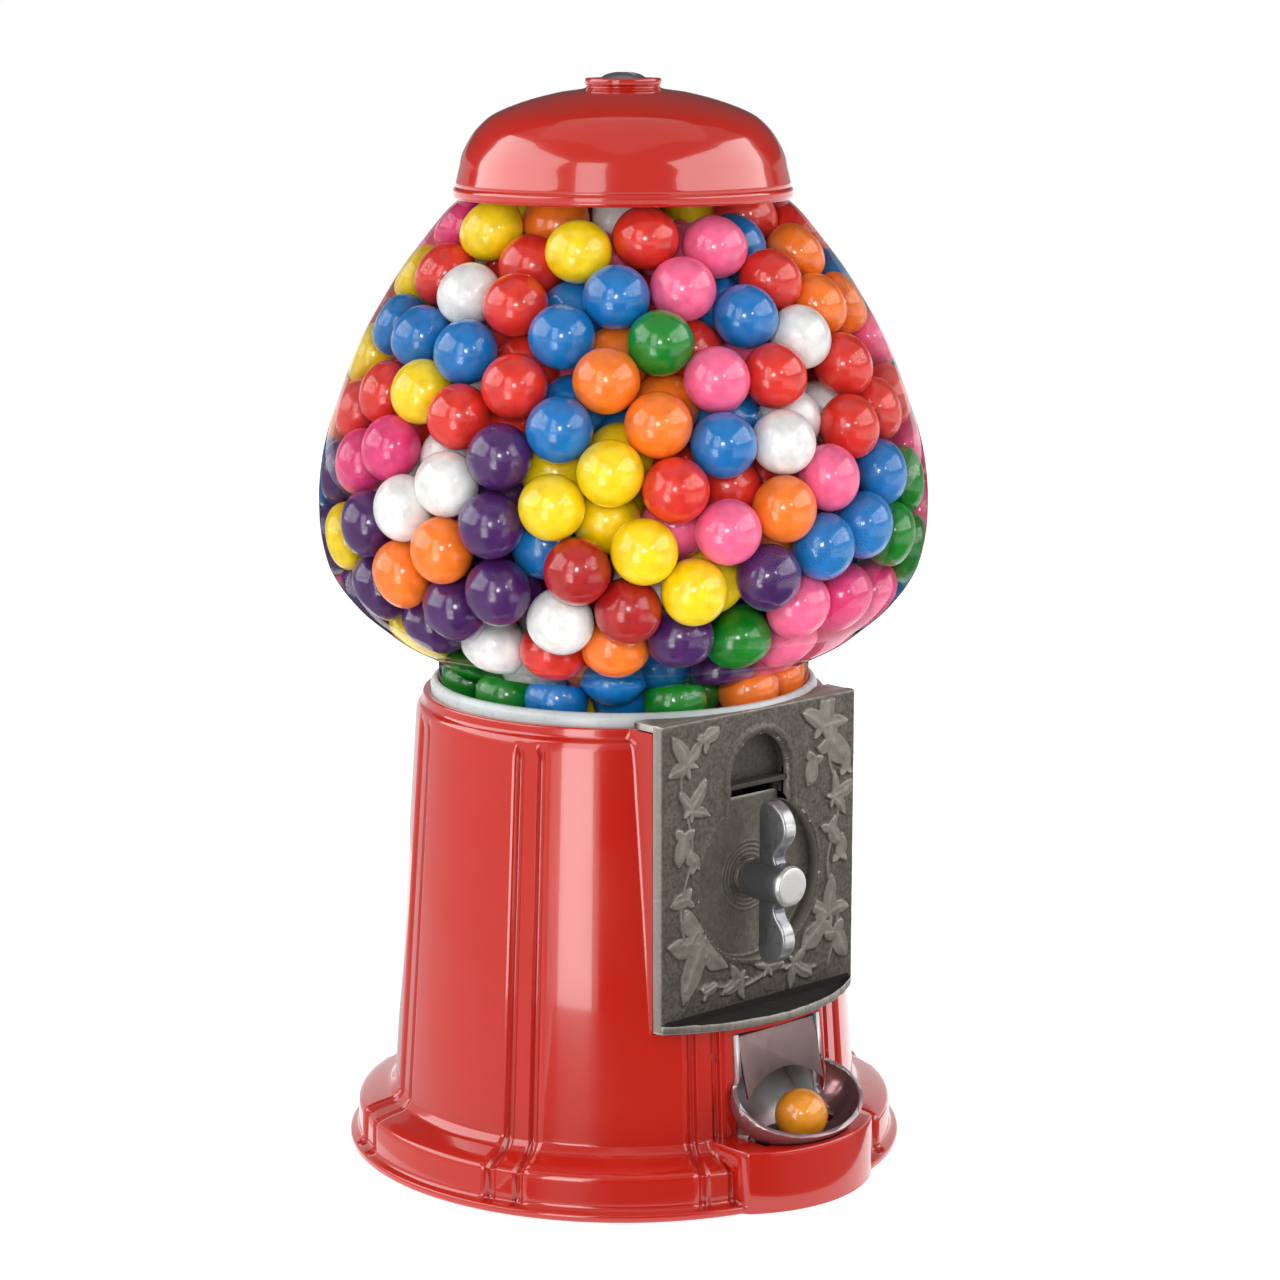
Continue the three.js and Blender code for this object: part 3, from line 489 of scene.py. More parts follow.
def body_profile():
    """The outer outline from the foot up to the shoulder, as r, z, and how strongly the flutes show."""
    ring = filleted([
        (FOOT_R - 0.6, BODY_BOTTOM, 0), (FOOT_R, BODY_BOTTOM + 0.6, 0.6), (FOOT_R, 3.2, 1.0),
        (BAND_R + 0.8, 4.2, 0.8), (BAND_R, 5.2, 0.8), (BAND_R - 0.4, 15.4, 2.2), (BAND_R - 4, 17.2, 2.5),
        (WAIST_R + 2.2, 19.2, 2.6), (WAIST_R, 22, 2.2), (WAIST_R - 0.07, 22.45, 0),
    ], closed=False, steps=7)
    heights = [22.55, 24, 26, 29, 34, 40, 50, SHELF_Z - 0.15, SHELF_Z, SHELF_Z + 1.5, SHELF_Z + 4]
    heights += list(np.linspace(72, SHOULDER_Z - 6, 9)) + [SHOULDER_Z - 3, SHOULDER_Z - 1.5, SHOULDER_Z]
    slope = (WAIST_R - NECK_R) / (SHOULDER_Z - WALL_FOOT_Z)
    wall = [(WAIST_R - (z - WALL_FOOT_Z) * slope, z) for z in heights]
    top = filleted([
        (NECK_R, SHOULDER_Z, 0), (NECK_R - 0.6, SHOULDER_Z + 2.4, 2.0), (NECK_R - 2.2, SHOULDER_Z + 3.6, 1.5),
        (NECK_R - 2.4, BODY_TOP, 0.8), (LIP_R, BODY_TOP, 0),
    ], closed=False)[1:]
    outline = np.vstack([ring, wall, top])
    height = outline[:, 1]
    fade = 1 - smoothstep(SHOULDER_Z - 4, SHOULDER_Z + 1.0, height)
    return outline, smoothstep(3.4, 5.0, height) * fade


def body_angles():
    """Angles round the body in degrees, close together where the flutes, bay and boss need it."""
    coarse = np.arange(-180, 180, 1.5)
    middles = np.arange(-180 + SECTOR / 2, 180, SECTOR)
    flutes = (middles[:, None] + np.arange(-6, 6.01, 0.3)).ravel()
    bay = np.arange(14, 22, 0.2)
    boss = np.arange(33, 42, 0.2)
    near_front = np.concatenate([bay, -bay, boss, -boss])
    return np.unique(np.round(np.concatenate([coarse, flutes, near_front]), 2))


def bay_radius(angle):
    """Distance from the axis to the bay's outline: a front arc between two straight sides."""
    sine, cosine = np.sin(angle), np.cos(angle)
    centre = BAY_OUT - BAY_ARC_R
    arc = centre * cosine + np.sqrt(np.maximum(BAY_ARC_R ** 2 - (centre * sine) ** 2, 0))
    side = BAY_HALF / np.maximum(np.abs(sine), 1e-3)
    return np.where(cosine > 0, -smooth_max(-arc, -side, 5.0), 0)


def boss_radius(angle, half=PANEL_HALF, out=PANEL_OUT):
    sine, cosine = np.sin(angle), np.cos(angle)
    front = out / np.maximum(cosine, 1e-3)
    return np.where(cosine > 0.2, np.minimum(front, half / np.maximum(np.abs(sine), 1e-3)), 0)


def body_casting():
    """The whole casting as one closed skin: outside, lip, inside and back to the foot."""
    outline, strength = body_profile()
    degrees_round = body_angles()
    angle = np.radians(degrees_round)
    depth = flute_depth(degrees_round)
    along = np.gradient(outline, axis=0)
    along /= np.linalg.norm(along, axis=1)[:, None]
    r, z = outline[:, 0][:, None], outline[:, 1][:, None]
    pushed = strength[:, None] * depth[None, :]
    r_out = r - pushed * along[:, 1][:, None]
    z_out = z + pushed * along[:, 0][:, None]

    low = (z <= BAY_TOP).astype(float)
    edge = 1.2                    # the rounding of the bay's top edge
    rounding = edge * (1 - np.sqrt(np.clip(1 - ((z - BAY_TOP + edge) / edge).clip(0, 1) ** 2, 0, 1)))
    bay = bay_radius(angle)[None, :] - rounding
    in_bay = low * (np.abs(degrees_round) < BAY_SWEEP)[None, :]
    with_bay = smooth_max(r_out, bay, 1.4)
    r_out = np.where(in_bay > 0, with_bay, r_out)
    z_out = np.where((in_bay > 0) & (bay > r_out - 1.0), np.broadcast_to(z, z_out.shape), z_out)

    high = z >= SHELF_Z
    on_panel = high & (np.abs(angle) < math.atan2(PANEL_HALF, PANEL_OUT))[None, :]
    boss = np.broadcast_to(boss_radius(angle)[None, :], r_out.shape)
    near_boss = (np.abs(degrees_round) < BOSS_SWEEP)[None, :]
    beside = high & ~on_panel & (z < BODY_TOP - 0.9) & near_boss
    r_out = np.where(beside, smooth_max(r_out, boss, 2.5), r_out)
    r_out = np.where(on_panel, boss, r_out)
    lip = (z >= BODY_TOP - 0.9) & near_boss
    r_out = np.where(lip & ~on_panel, np.maximum(r_out, boss), r_out)
    r_out[-1, :] = LIP_R
    z_out = np.where(on_panel, np.minimum(z, BODY_TOP), z_out)

    seat_z = SHOULDER_Z + 5.2
    inside = np.array([
        (LIP_R - 0.2, seat_z), (SEAT_R, seat_z), (SEAT_R, BODY_TOP - 4.5), (NECK_R - 5.6, BODY_TOP - 4.7),
        (NECK_R - 4.8, SHOULDER_Z - 4), (WAIST_R - 5, 62), (WAIST_R - 5.2, 57.9), (WAIST_R - 4.2, 24),
        (WAIST_R - 2.5, 18), (BAND_R - 3, 13), (BAND_R - 3, BODY_BOTTOM),
    ])
    ri, zi = inside[:, 0][:, None], inside[:, 1][:, None]
    r_in = np.broadcast_to(ri, (len(inside), len(angle))).copy()
    behind_panel = boss_radius(angle, PANEL_HALF - WALL, PANEL_OUT - WALL)[None, :]
    in_front = (zi > 60) & (zi < BODY_TOP - 1) & (behind_panel > 0) & (ri > 63)
    r_in = np.where(in_front, np.minimum(r_in, np.where(behind_panel > 0, behind_panel, 999)), r_in)
    z_in = np.broadcast_to(zi, r_in.shape)

    r_all, z_all = np.vstack([r_out, r_in]), np.vstack([z_out, z_in])
    points = np.stack([r_all * np.sin(angle), -r_all * np.cos(angle), z_all], axis=-1).reshape(-1, 3)
    faces = grid_faces(len(r_all), len(angle), wrap_rows=True, wrap_columns=True)
    made = mesh_object("body_casting", points, faces, 38)

    doorway = [(60, 17), (88, 17), (95, BAY_TOP - 0.1), (95, 40), (86, 58.2), (60, 58.2)]
    room = SCOOP_HALF + 0.4
    combine(made, prism("doorway", np.array(doorway), -room, room, sidelong))
    bowl_room = [size + 0.4 for size in BOWL_SIZES]
    combine(made, ellipse_ball("bowl_room", BOWL_CENTRE, bowl_room))
    hole = [(-34, 72), (34, 72), (34, 158), (-34, 158)]
    combine(made, prism("mechanism_hole", hole, 55, 70, frontal))
    shade(made, 38)
    return placed(made, "base", "red_enamel", RED, "body_shell")


# ---------------------------------------------------------------- globe and lid
GLOBE = box_mm("globe")
GLOBE_BOTTOM, GLOBE_TOP = GLOBE[0][2], GLOBE[1][2]
GLASS_THICK = 2.1
GLOBE_OUTLINE = [                 # outer r and z, from the neck up to the lid
    (66, 165.3), (66, 176.5), (69.5, 179.2), (79.7, 184.6), (86.7, 190), (92.7, 195), (97.2, 200),
    (100.9, 205), (103.6, 210), (105.4, 216), (106.6, 223), (107, 230), (106.8, 239), (105.4, 249.8),
    (102.9, 259.7), (97.8, 274.5), (94.1, 284), (89.3, 294), (83.5, 304), (77.3, 313.7), (70.2, 323),
    (62, 333), (57.4, 337.2), (53.5, 339.8), (53.5, 343.5),
]


def globe():
    outer = spline(GLOBE_OUTLINE, 5)
    along = np.gradient(outer, axis=0)
    along /= np.linalg.norm(along, axis=1)[:, None]
    inner = outer + GLASS_THICK * np.stack([-along[:, 1], along[:, 0]], axis=-1)
    inner[:, 1] = inner[:, 1].clip(GLOBE_BOTTOM, GLOBE_TOP)
    outline = np.vstack([outer, inner[::-1]])
    return placed(turned("globe_glass", outline, 192, crease=50), "base", "glass", GLASS, "globe")


def lid():
    """A spun dome with a rolled rim, a collar on top with a groove round it, and a turned-in edge."""
    low, high = box_mm("lid")
    rim_r, rim_z, top_z = high[0], low[2], high[2]
    dome = spline([
        (rim_r - 0.7, rim_z + 5), (rim_r - 1.9, rim_z + 10), (rim_r - 3.0, rim_z + 14.6),
        (rim_r - 5.2, rim_z + 19.2), (rim_r - 8.6, rim_z + 24), (rim_r - 14.4, rim_z + 28.8),
        (rim_r - 24.8, rim_z + 33), (rim_r - 36.2, rim_z + 36.0), (rim_r - 43.5, rim_z + 37.1),
    ], 7)
    rim = filleted([
        (rim_r - 2.6, rim_z, 0.6), (rim_r - 0.5, rim_z, 0.8), (rim_r, rim_z + 1, 0.9),
        (rim_r, rim_z + 3.2, 0.9), (rim_r - 0.9, rim_z + 4.1, 0.6),
    ], closed=False)
    collar_r = 13.2
    collar = filleted([
        (collar_r + 0.8, rim_z + 37.3, 0.8), (collar_r - 0.5, rim_z + 37.8, 0.8),
        (collar_r - 0.5, top_z - 2.9, 0.3), (collar_r - 0.9, top_z - 2.6, 0.2),
        (collar_r, top_z - 2.2, 0.3), (collar_r, top_z, 0.9), (collar_r - 3.4, top_z, 0.6),
        (collar_r - 3.9, top_z - 4.4, 0.3), (3.5, top_z - 4.4, 0),
    ], closed=False)
    inside = np.array([
        (3.5, top_z - 7.2), (30, rim_z + 32), (44, rim_z + 26.5), (50, rim_z + 20.5), (53.4, rim_z + 14.5),
        (54.8, rim_z + 9), (49.8, rim_z + 7.7), (54.6, rim_z + 7.5), (55.6, rim_z + 5),
    ])
    outline = np.vstack([rim, dome, collar, inside])
    return placed(turned("lid_dome", outline, 192, crease=40), "lid", "red_enamel", RED, "lid")


def lid_nut():
    """A slotted dome nut that lies in the collar."""
    low, high = box_mm("lid_nut")
    r, bottom, top = high[0], low[2], high[2]
    dome = filleted([
        (0, top, 0), (3.0, top, 1.5), (6.4, top - 0.9, 2), (r - 0.2, top - 2.4, 0.8), (r, bottom + 0.2, 0.2),
        (3.3, bottom, 0), (3.3, bottom + 4.2, 0), (0, bottom + 4.2, 0),
    ], closed=False)
    made = turned("lid_nut_dome", dome, 96, closed=False)
    slot = [(-0.7, top - 1.1), (0.7, top - 1.1), (0.7, top + 1), (-0.7, top + 1)]
    combine(made, prism("slot", slot, -12, 12, frontal))
    shade(made, 35)
    return placed(made, "lid_nut", "zinc", ZINC, "lid_nut")


def seals():
    """The pale gasket that the globe stands in, with a lip under the glass, and the lid's own."""
    low, high = box_mm("globe_seal")
    lip_r, inner, outer = SEAT_R + 0.2, 66.3, high[0]
    outline = filleted([
        (lip_r, low[2], 0.2), (outer, low[2], 0.3), (outer, high[2] - 1.6, 0.8), (outer - 1.2, high[2], 0.9),
        (inner, high[2], 0.3), (inner, low[2] + 1.6, 0.1), (lip_r, low[2] + 1.6, 0.2),
    ])
    placed(turned("globe_gasket", outline, 160), "base", "seal", SEAL, "globe_seal")
    low, high = box_mm("lid_seal")
    outer = high[0]
    outline = filleted([
        (outer - 3.6, low[2], 0.4), (outer, low[2], 0.4), (outer, high[2], 0.4), (outer - 3.6, high[2], 0.4),
    ])
    placed(turned("lid_gasket", outline, 120), "lid", "seal", SEAL, "lid_seal")


# ---------------------------------------------------------------- gumballs
BALL_R = 11.2
BALL_COUNT = 458
ROD_R = 3.6
PUSH, DROP, SPREAD = 0.42, 0.12, 1.002    # how balls move apart, down and outward at each settling step

# Colours across the front of the globe, left to right, from the lid down to the neck.
FRONT_COLOURS = [
    "magenta yellow orange yellow white red pink red green",
    "red white red pink blue pink blue red orange",
    "blue blue red blue crimson green blue white orange",
    "yellow white red pink orange red pink red red",
    "red red red blue blue orange blue white red",
    "magenta white purple yellow yellow red red pink blue",
    "purple white purple blue yellow pink orange blue green",
    "yellow orange purple crimson white yellow purple blue green",
    "purple purple green white crimson purple green pink magenta",
    "yellow green white red orange blue purple pink green",
    "orange green blue yellow blue green crimson orange green",
]


def fill_outline():
    """The outer outline, [r, z], of the solid that stands for the mass of balls, from the bottom up."""
    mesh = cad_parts["gumball_fill"].data
    co = np.array([v.co for v in mesh.vertices]) / MM
    r, z = np.hypot(co[:, 0], co[:, 1]), co[:, 2]
    rows = [(r[np.abs(z - height) < 0.05].max() + 0.5, height) for height in np.unique(np.round(z, 1))]
    return np.array(rows)


def push_inside(at, outline, radius):
    """Moves balls that cross the outline, its floor or its top back inside."""
    r = np.hypot(at[:, 0], at[:, 1])
    r = np.maximum(r, 1e-6)
    start, end = outline[:-1], outline[1:]
    along = end - start
    length = np.linalg.norm(along, axis=1)
    along = along / length[:, None]
    inward = np.stack([-along[:, 1], along[:, 0]], axis=-1)
    here = np.stack([r, at[:, 2]], axis=-1)
    reach = here[:, None, :] - start[None, :, :]
    share = np.clip((reach * along).sum(-1), 0, length)
    nearest = start + share[..., None] * along
    distance = np.linalg.norm(here[:, None, :] - nearest, axis=-1)
    side = (reach * inward).sum(-1)
    closest = distance.argmin(axis=1)
    row = np.arange(len(at))
    signed = np.where(side[row, closest] >= 0, distance[row, closest], -distance[row, closest])
    step = np.maximum(radius - signed, 0)
    here = here + step[:, None] * inward[closest]
    here[:, 1] = here[:, 1].clip(outline[0, 1] + radius, outline[-1, 1] - radius)
    rod = np.maximum(ROD_R + radius - here[:, 0], 0)
    new_r = here[:, 0] + rod
    at[:, :2] *= (new_r / r)[:, None]
    at[:, 2] = here[:, 1]


def packed_balls(rng):
    """Centres of the balls, settled against each other, the glass and the centre rod."""
    outline = fill_outline()
    low, high = outline[0, 1] + BALL_R, outline[-1, 1] - BALL_R
    placed_count = 0
    at = np.zeros((BALL_COUNT, 3))
    while placed_count < BALL_COUNT:
        z = rng.uniform(low, high)
        limit = np.interp(z, outline[:, 1], outline[:, 0]) - BALL_R
        x, y = rng.uniform(-100, 100, 2)
        if math.hypot(x, y) < limit:
            at[placed_count] = (x, y, z)
            placed_count += 1
    steps = 420
    for step in range(steps):
        apart = at[:, None, :] - at[None, :, :]
        distance = np.sqrt((apart ** 2).sum(-1)) + 1e-9
        overlap = np.maximum(2 * BALL_R - distance, 0)
        np.fill_diagonal(overlap, 0)
        at += PUSH * ((overlap / distance)[..., None] * apart).sum(axis=1)
        if step < steps // 2:
            at[:, 2] -= DROP
            at[:, :2] *= SPREAD
        push_inside(at, outline, BALL_R)
    return at


def ball_points(detail):
    made = bmesh.new()
    bmesh.ops.create_icosphere(made, subdivisions=detail, radius=1.0)
    points = np.array([v.co for v in made.verts])
    faces = np.array([[v.index for v in f.verts] for f in made.faces])
    made.free()
    return points, faces


def colour_of(centre, across, toward, rng):
    """A front ball takes the colour listed for its place; any other is drawn at random."""
    names = list(GUM_COLOURS)
    drawn = names[rng.integers(len(names))]
    flat = np.array([centre[0], centre[1]])
    if flat @ toward < 0:
        return drawn
    rows = len(FRONT_COLOURS)
    top, bottom = GLOBE_TOP - 8, GLOBE_BOTTOM
    row = int(np.clip((top - centre[2]) / (top - bottom) * rows, 0, rows - 1))
    listed = FRONT_COLOURS[row].split()
    width = max(math.hypot(*flat), np.interp(centre[2], [165, 185, 230, 340], [62, 78, 104, 56]))
    column = int(np.clip((flat @ across / width + 1) / 2 * len(listed), 0, len(listed) - 1))
    return listed[column]


def gumballs(view_angle):
    rng = np.random.default_rng(24)
    centres = packed_balls(rng)
    across = np.array([math.cos(view_angle), math.sin(view_angle)])
    toward = np.array([math.sin(view_angle), -math.cos(view_angle)])
    fine, rough = ball_points(4), ball_points(2)
    by_colour = {name: ([], []) for name in GUM_COLOURS}
    outline = fill_outline()
    for centre in centres:
        glass_r = np.interp(centre[2], outline[:, 1], outline[:, 0])
        hidden = math.hypot(centre[0], centre[1]) < glass_r - 3.2 * BALL_R
        points, faces = rough if hidden else fine
        all_points, all_faces = by_colour[colour_of(centre, across, toward, rng)]
        stretch = 1 - np.abs(rng.normal(0, 0.012, 3))
        start = sum(len(p) for p in all_points)
        all_points.append(points * stretch * (BALL_R - 0.1) + centre)
        all_faces.append(faces + start)
    batches = []
    for name, (all_points, all_faces) in by_colour.items():
        made = bpy.data.meshes.new("gumballs_" + name)
        made.from_pydata((np.vstack(all_points) * MM).tolist(), [], np.vstack(all_faces).tolist())
        made.polygons.foreach_set("use_smooth", np.ones(len(made.polygons), bool))
        batch = bpy.data.objects.new("gumballs_" + name, made)
        bpy.context.scene.collection.objects.link(batch)
        batches.append(placed(batch, "base", "gumballs", gum(name, GUM_COLOURS[name]), "gumball_fill"))
    return batches


def vended_ball():
    low, high = box_mm("vended_gumball")
    centre, radius = (low + high) / 2, (high[0] - low[0]) / 2
    points, faces = ball_points(5)
    made = mesh_object("gumball_vended", points * (radius - 0.02) + centre, faces, 180)
    return placed(made, "gumball", "gumball_yellow", gum("golden", rgb(196, 122, 16)), "vended_gumball")


# ---------------------------------------------------------------- face plate
PLATE_OUT = 69.8
PLATE_THICK = 4
SHAFT_Z, KNOB_RECESS_R, KNOB_RECESS_OUT = 108, 29, 63.9
COIN_Z, COIN_R, ARCH_FOOT_Z = 145, 14, 126.0
LEDGE_Z = (140.7, 142.5)
HOOD_OUT = -PLATE[0][1]
PLATE_BOTTOM, PLATE_TOP = PLATE[0][2], PLATE[1][2]
HOOD_TOP = PLATE_BOTTOM + 2.8
SEAL_ROOM_R, SEAL_ROOM_Z = 69.1, 163.2

# Leaves of the cast relief: x, z, size, the way the longest lobe points in degrees, and how many lobes.
LEAVES = [
    (-34, 153, 14, 125, 5), (-27, 160, 9, 35, 3), (-33, 137, 13, 55, 5), (-36, 129, 11, 255, 3),
    (-31, 117, 8, 110, 3), (-34, 107, 9, 190, 3), (-28, 90, 22, 246, 5), (-24, 88, 11, 350, 3),
    (-31, 94, 11, 120, 3), (-26, 72, 7, 20, 3), (-9, 74, 11, 205, 5), (4, 75, 11, 80, 5),
    (16, 74, 12, 330, 5), (30, 157, 17, 75, 5), (33, 152, 15, 318, 3), (26, 146, 10, 250, 3),
    (36, 131, 13, 20, 5), (34, 121, 10, 300, 3), (39, 109, 9, 80, 3), (33, 89, 15, 80, 5),
    (31, 86, 14, 215, 3), (37, 82, 12, 300, 3), (42, 140, 8, 95, 3),
]


def leaf_distance(x, z, leaf):
    """Millimetres inside a leaf's edge, roughly: a star of pointed lobes, short on the stalk's side."""
    centre_x, centre_z, size, turn, lobes = leaf
    dx, dz = x - centre_x, z - centre_z
    bearing = np.arctan2(dz, dx) - math.radians(turn)
    share = 2 * np.abs((bearing * lobes / (2 * math.pi) + 0.5) % 1 - 0.5)
    reach = size * (0.4 + 0.6 * (1 - share) ** 1.15) * (0.64 + 0.36 * np.cos(bearing))
    return reach - np.hypot(dx, dz), share


def leaf_height(x, z, leaf):
    """A flat-topped leaf with a low vein along each lobe."""
    distance, share = leaf_distance(x, z, leaf)
    size = leaf[2]
    from_centre = np.hypot(x - leaf[0], z - leaf[1])
    vein = np.exp(-(share * from_centre / (0.09 * size)) ** 2) * (from_centre < 0.8 * size)
    return smoothstep(-0.1, 0.7, distance) * (0.72 + 0.28 * vein)


def stem_height(x, z):
    """Two wavy stems that run up the plate's sides and one along its foot."""
    left = np.abs(x + 35 + 2.6 * np.sin(z / 7.2))
    right = np.abs(x - 35.5 - 2.6 * np.sin(z / 6.6 + 1))
    foot = np.abs(z - 72.5 - 1.5 * np.sin(x / 5.5))
    along_side = smoothstep(66, 72, z) * (1 - smoothstep(158, 163, z))
    along_foot = 1 - smoothstep(26, 31, np.abs(x))
    sides = (np.exp(-(left / 0.9) ** 2) + np.exp(-(right / 0.9) ** 2)) * along_side
    return 0.7 * (sides + np.exp(-(foot / 0.9) ** 2) * along_foot)


def bumps(x, z, size, seed):
    """Smooth random lumps of that size, made from a few waves."""
    rng = np.random.default_rng(seed)
    total = 0
    for _ in range(14):
        angle, shift = rng.uniform(0, 2 * math.pi, 2)
        length = size * rng.uniform(0.7, 1.5)
        total = total + np.sin((x * math.cos(angle) + z * math.sin(angle)) * 2 * math.pi / length + shift)
    return total / 14


def relief(x, z):
    """Height of the cast relief over the plate's flat face, 0 to 1, and nearness to a leaf's foot."""
    height = stem_height(x, z)
    foot = np.zeros_like(height)
    warp_x, warp_z = x + 1.3 * bumps(x, z, 9, 5), z + 1.3 * bumps(x, z, 9, 6)
    for leaf in LEAVES:
        height = np.maximum(height, leaf_height(warp_x, warp_z, leaf))
        distance, _ = leaf_distance(warp_x, warp_z, leaf)
        foot = np.maximum(foot, smoothstep(-1.5, -0.1, distance))
    from_knob = np.hypot(x, z - SHAFT_Z)
    from_coin = np.hypot(x, np.maximum(z - COIN_Z, 0))
    clear = smoothstep(KNOB_RECESS_R + 0.6, KNOB_RECESS_R + 1.8, from_knob)
    clear = clear * np.maximum(smoothstep(18.0, 19.2, from_coin), z < ARCH_FOOT_Z)
    border = np.minimum(PANEL_HALF - np.abs(x), np.minimum(PLATE_TOP - z, z - PLATE_BOTTOM + 2))
    clear = clear * smoothstep(0.8, 2.0, border)
    return height * clear, foot * clear * (1 - smoothstep(0.0, 0.3, height))


def arch_outline(r, steps=40):
    """The coin recess: a half circle over straight sides."""
    turn = np.radians(np.linspace(0, 180, steps + 1))
    arc = np.stack([r * np.cos(turn), COIN_Z + r * np.sin(turn)], axis=-1)
    return [(r, ARCH_FOOT_Z)] + [tuple(p) for p in arc] + [(-r, ARCH_FOOT_Z)]


def circle(r, z):
    turn = np.radians(np.arange(0, 360, 2.5))
    return np.stack([r * np.cos(turn), z + r * np.sin(turn)], axis=-1)


def plate_panel():
    """The plate's flat panel: a fine grid carries the relief, closed by its edges and a flat back."""
    step = 0.36
    columns = int(2 * PANEL_HALF / step) + 1
    rows = int((PLATE_TOP - HOOD_TOP + 1) / step) + 1
    across, upward = np.linspace(-PANEL_HALF, PANEL_HALF, columns), np.linspace(PLATE_BOTTOM, PLATE_TOP, rows)
    x, z = np.meshgrid(across, upward)
    height, _ = relief(x, z)
    border = np.minimum(PANEL_HALF - np.abs(x), np.minimum(PLATE_TOP - z, z - PLATE_BOTTOM))
    rounding = 0.8 * (1 - np.sqrt(1 - (1 - np.clip(border / 1.0, 0, 1)) ** 2))
    from_coin = np.hypot(x, np.maximum(z - COIN_Z, 0))
    arch = np.exp(-((from_coin - 15.9) / 1.25) ** 4) * (z > 128) * 0.75
    from_knob = np.hypot(x, z - SHAFT_Z)
    knob_rim = 0.3 * np.exp(-((from_knob - KNOB_RECESS_R - 0.6) / 0.7) ** 2)
    grain = 0.07 * bumps(x, z, 2.2, 11) + 0.08 * bumps(x, z, 5.5, 12) + 0.10 * bumps(x, z, 14, 13)
    out = PLATE_OUT - 0.12 + 0.95 * height + np.maximum(arch, knob_rim) + grain - rounding
    front = np.stack([x, -out, z], axis=-1).reshape(-1, 3)
    order = np.arange(rows * columns).reshape(rows, columns)
    rim = np.concatenate([order[0, :-1], order[:-1, -1], order[-1, :0:-1], order[:0:-1, 0]])
    back = front[rim].copy()
    back[:, 1] = -(PLATE_OUT - PLATE_THICK)
    count = len(rim)
    start = len(front)
    around = np.arange(count)
    following = (around + 1) % count
    sides = np.stack([rim, rim[following], start + following, start + around], axis=-1)
    faces = [tuple(f) for f in grid_faces(rows, columns)] + [tuple(f) for f in sides]
    faces.append(tuple(start + around))
    made = mesh_object("face_plate_casting", np.vstack([front, back]), faces, 70)
    combine(made, prism("knob_hole", circle(KNOB_RECESS_R, SHAFT_Z), 60, 75, frontal))
    combine(made, prism("coin_hole", arch_outline(COIN_R), 60, 75, frontal))
    seal_room = np.array([(0, SEAL_ROOM_Z), (SEAL_ROOM_R, SEAL_ROOM_Z), (SEAL_ROOM_R, 180), (0, 180)])
    combine(made, turned("seal_room", seal_room, 160, closed=False))
    return made


def top_hooks():
    """The plate's top corners, which hook back over the body outside the gasket."""
    front, back = PLATE_OUT - PLATE_THICK + 0.6, 56.2
    turn = np.linspace(math.acos(front / SEAL_ROOM_R), math.acos(back / SEAL_ROOM_R), 12)
    arc = [(SEAL_ROOM_R * math.sin(a), SEAL_ROOM_R * math.cos(a)) for a in turn]
    outline = arc + [(PANEL_HALF - 0.1, back), (PANEL_HALF - 0.1, front)]
    hooks = []
    for side in (-1, 1):
        corners = [(side * x, out) for x, out in outline]
        hook = prism("hook", corners, BODY_TOP + 0.4, PLATE_TOP - 0.1, lambda x, out, z: (x, -out, z))
        hooks.append(bevelled(hook, 0.4))
    return hooks


def plate_recesses():
    """The dished cups behind the two recesses, with fine rings turned round the knob's hub."""
    floor = KNOB_RECESS_OUT
    ripples = [(r, floor + 0.22 * (i % 2), 0.15) for i, r in enumerate(np.arange(6.6, 13.5, 0.8))]
    cup = filleted([
        (3.4, floor + 1.4, 0), (6.2, floor + 1.4, 0.5), *ripples, (KNOB_RECESS_R - 0.4, floor, 1.2),
        (KNOB_RECESS_R, PLATE_OUT - 0.5, 0), (KNOB_RECESS_R + 2.2, PLATE_OUT - 3.4, 0),
        (KNOB_RECESS_R + 2.2, floor - 2.2, 0), (3.4, floor - 2.2, 0),
    ], closed=True, steps=4)
    knob_cup = level("knob_cup", cup, 0, SHAFT_Z, 144)
    combine(knob_cup, prism("coin_way", arch_outline(COIN_R), KNOB_RECESS_OUT + 0.01, 80, frontal))
    coin_floor = floor - 0.4      # just under the knob cup's floor, where the two overlap
    coin_cup = prism("coin_cup", arch_outline(COIN_R + 2), coin_floor - 2.0, PLATE_OUT - 3.0, frontal)
    combine(coin_cup, prism("coin_room", arch_outline(COIN_R), coin_floor, 80, frontal))
    combine(coin_cup, prism("knob_room", circle(KNOB_RECESS_R, SHAFT_Z), coin_floor, 80, frontal))
    slot = [(-12.8, 136.8), (12.8, 136.8), (12.8, 140.2), (-12.8, 140.2)]
    for part in (coin_cup, knob_cup):
        combine(part, prism("slot", slot, 50, 80, frontal))
        shade(part, 35)
    ledge = [(-COIN_R, LEDGE_Z[0]), (COIN_R, LEDGE_Z[0]), (COIN_R, LEDGE_Z[1]), (-COIN_R, LEDGE_Z[1])]
    bar = bevelled(prism("coin_ledge", ledge, floor - 1, PLATE_OUT - 1.0, frontal), 0.35)
    return [knob_cup, coin_cup, bar]


# The hood's section from its back foot round the rim: share of the way out, share of the height, tone. A tone
# of -1 paints the dish near black as painted shade.
HOOD_SECTION = [
    (0, 0, 0), (0.35, 0, 0), (0.98, 0, 0), (1, 0.2, 0.3), (1, 0.75, 0.6), (0.985, 1, 0.6),
    (0.955, 0.98, 0.6), (0.925, 0.9, 0.6), (0.91, 0.6, -1), (0.89, 0.46, -1), (0.5, 0.42, -1),
    (0.06, 0.42, -1), (0, 0.42, -1),
]


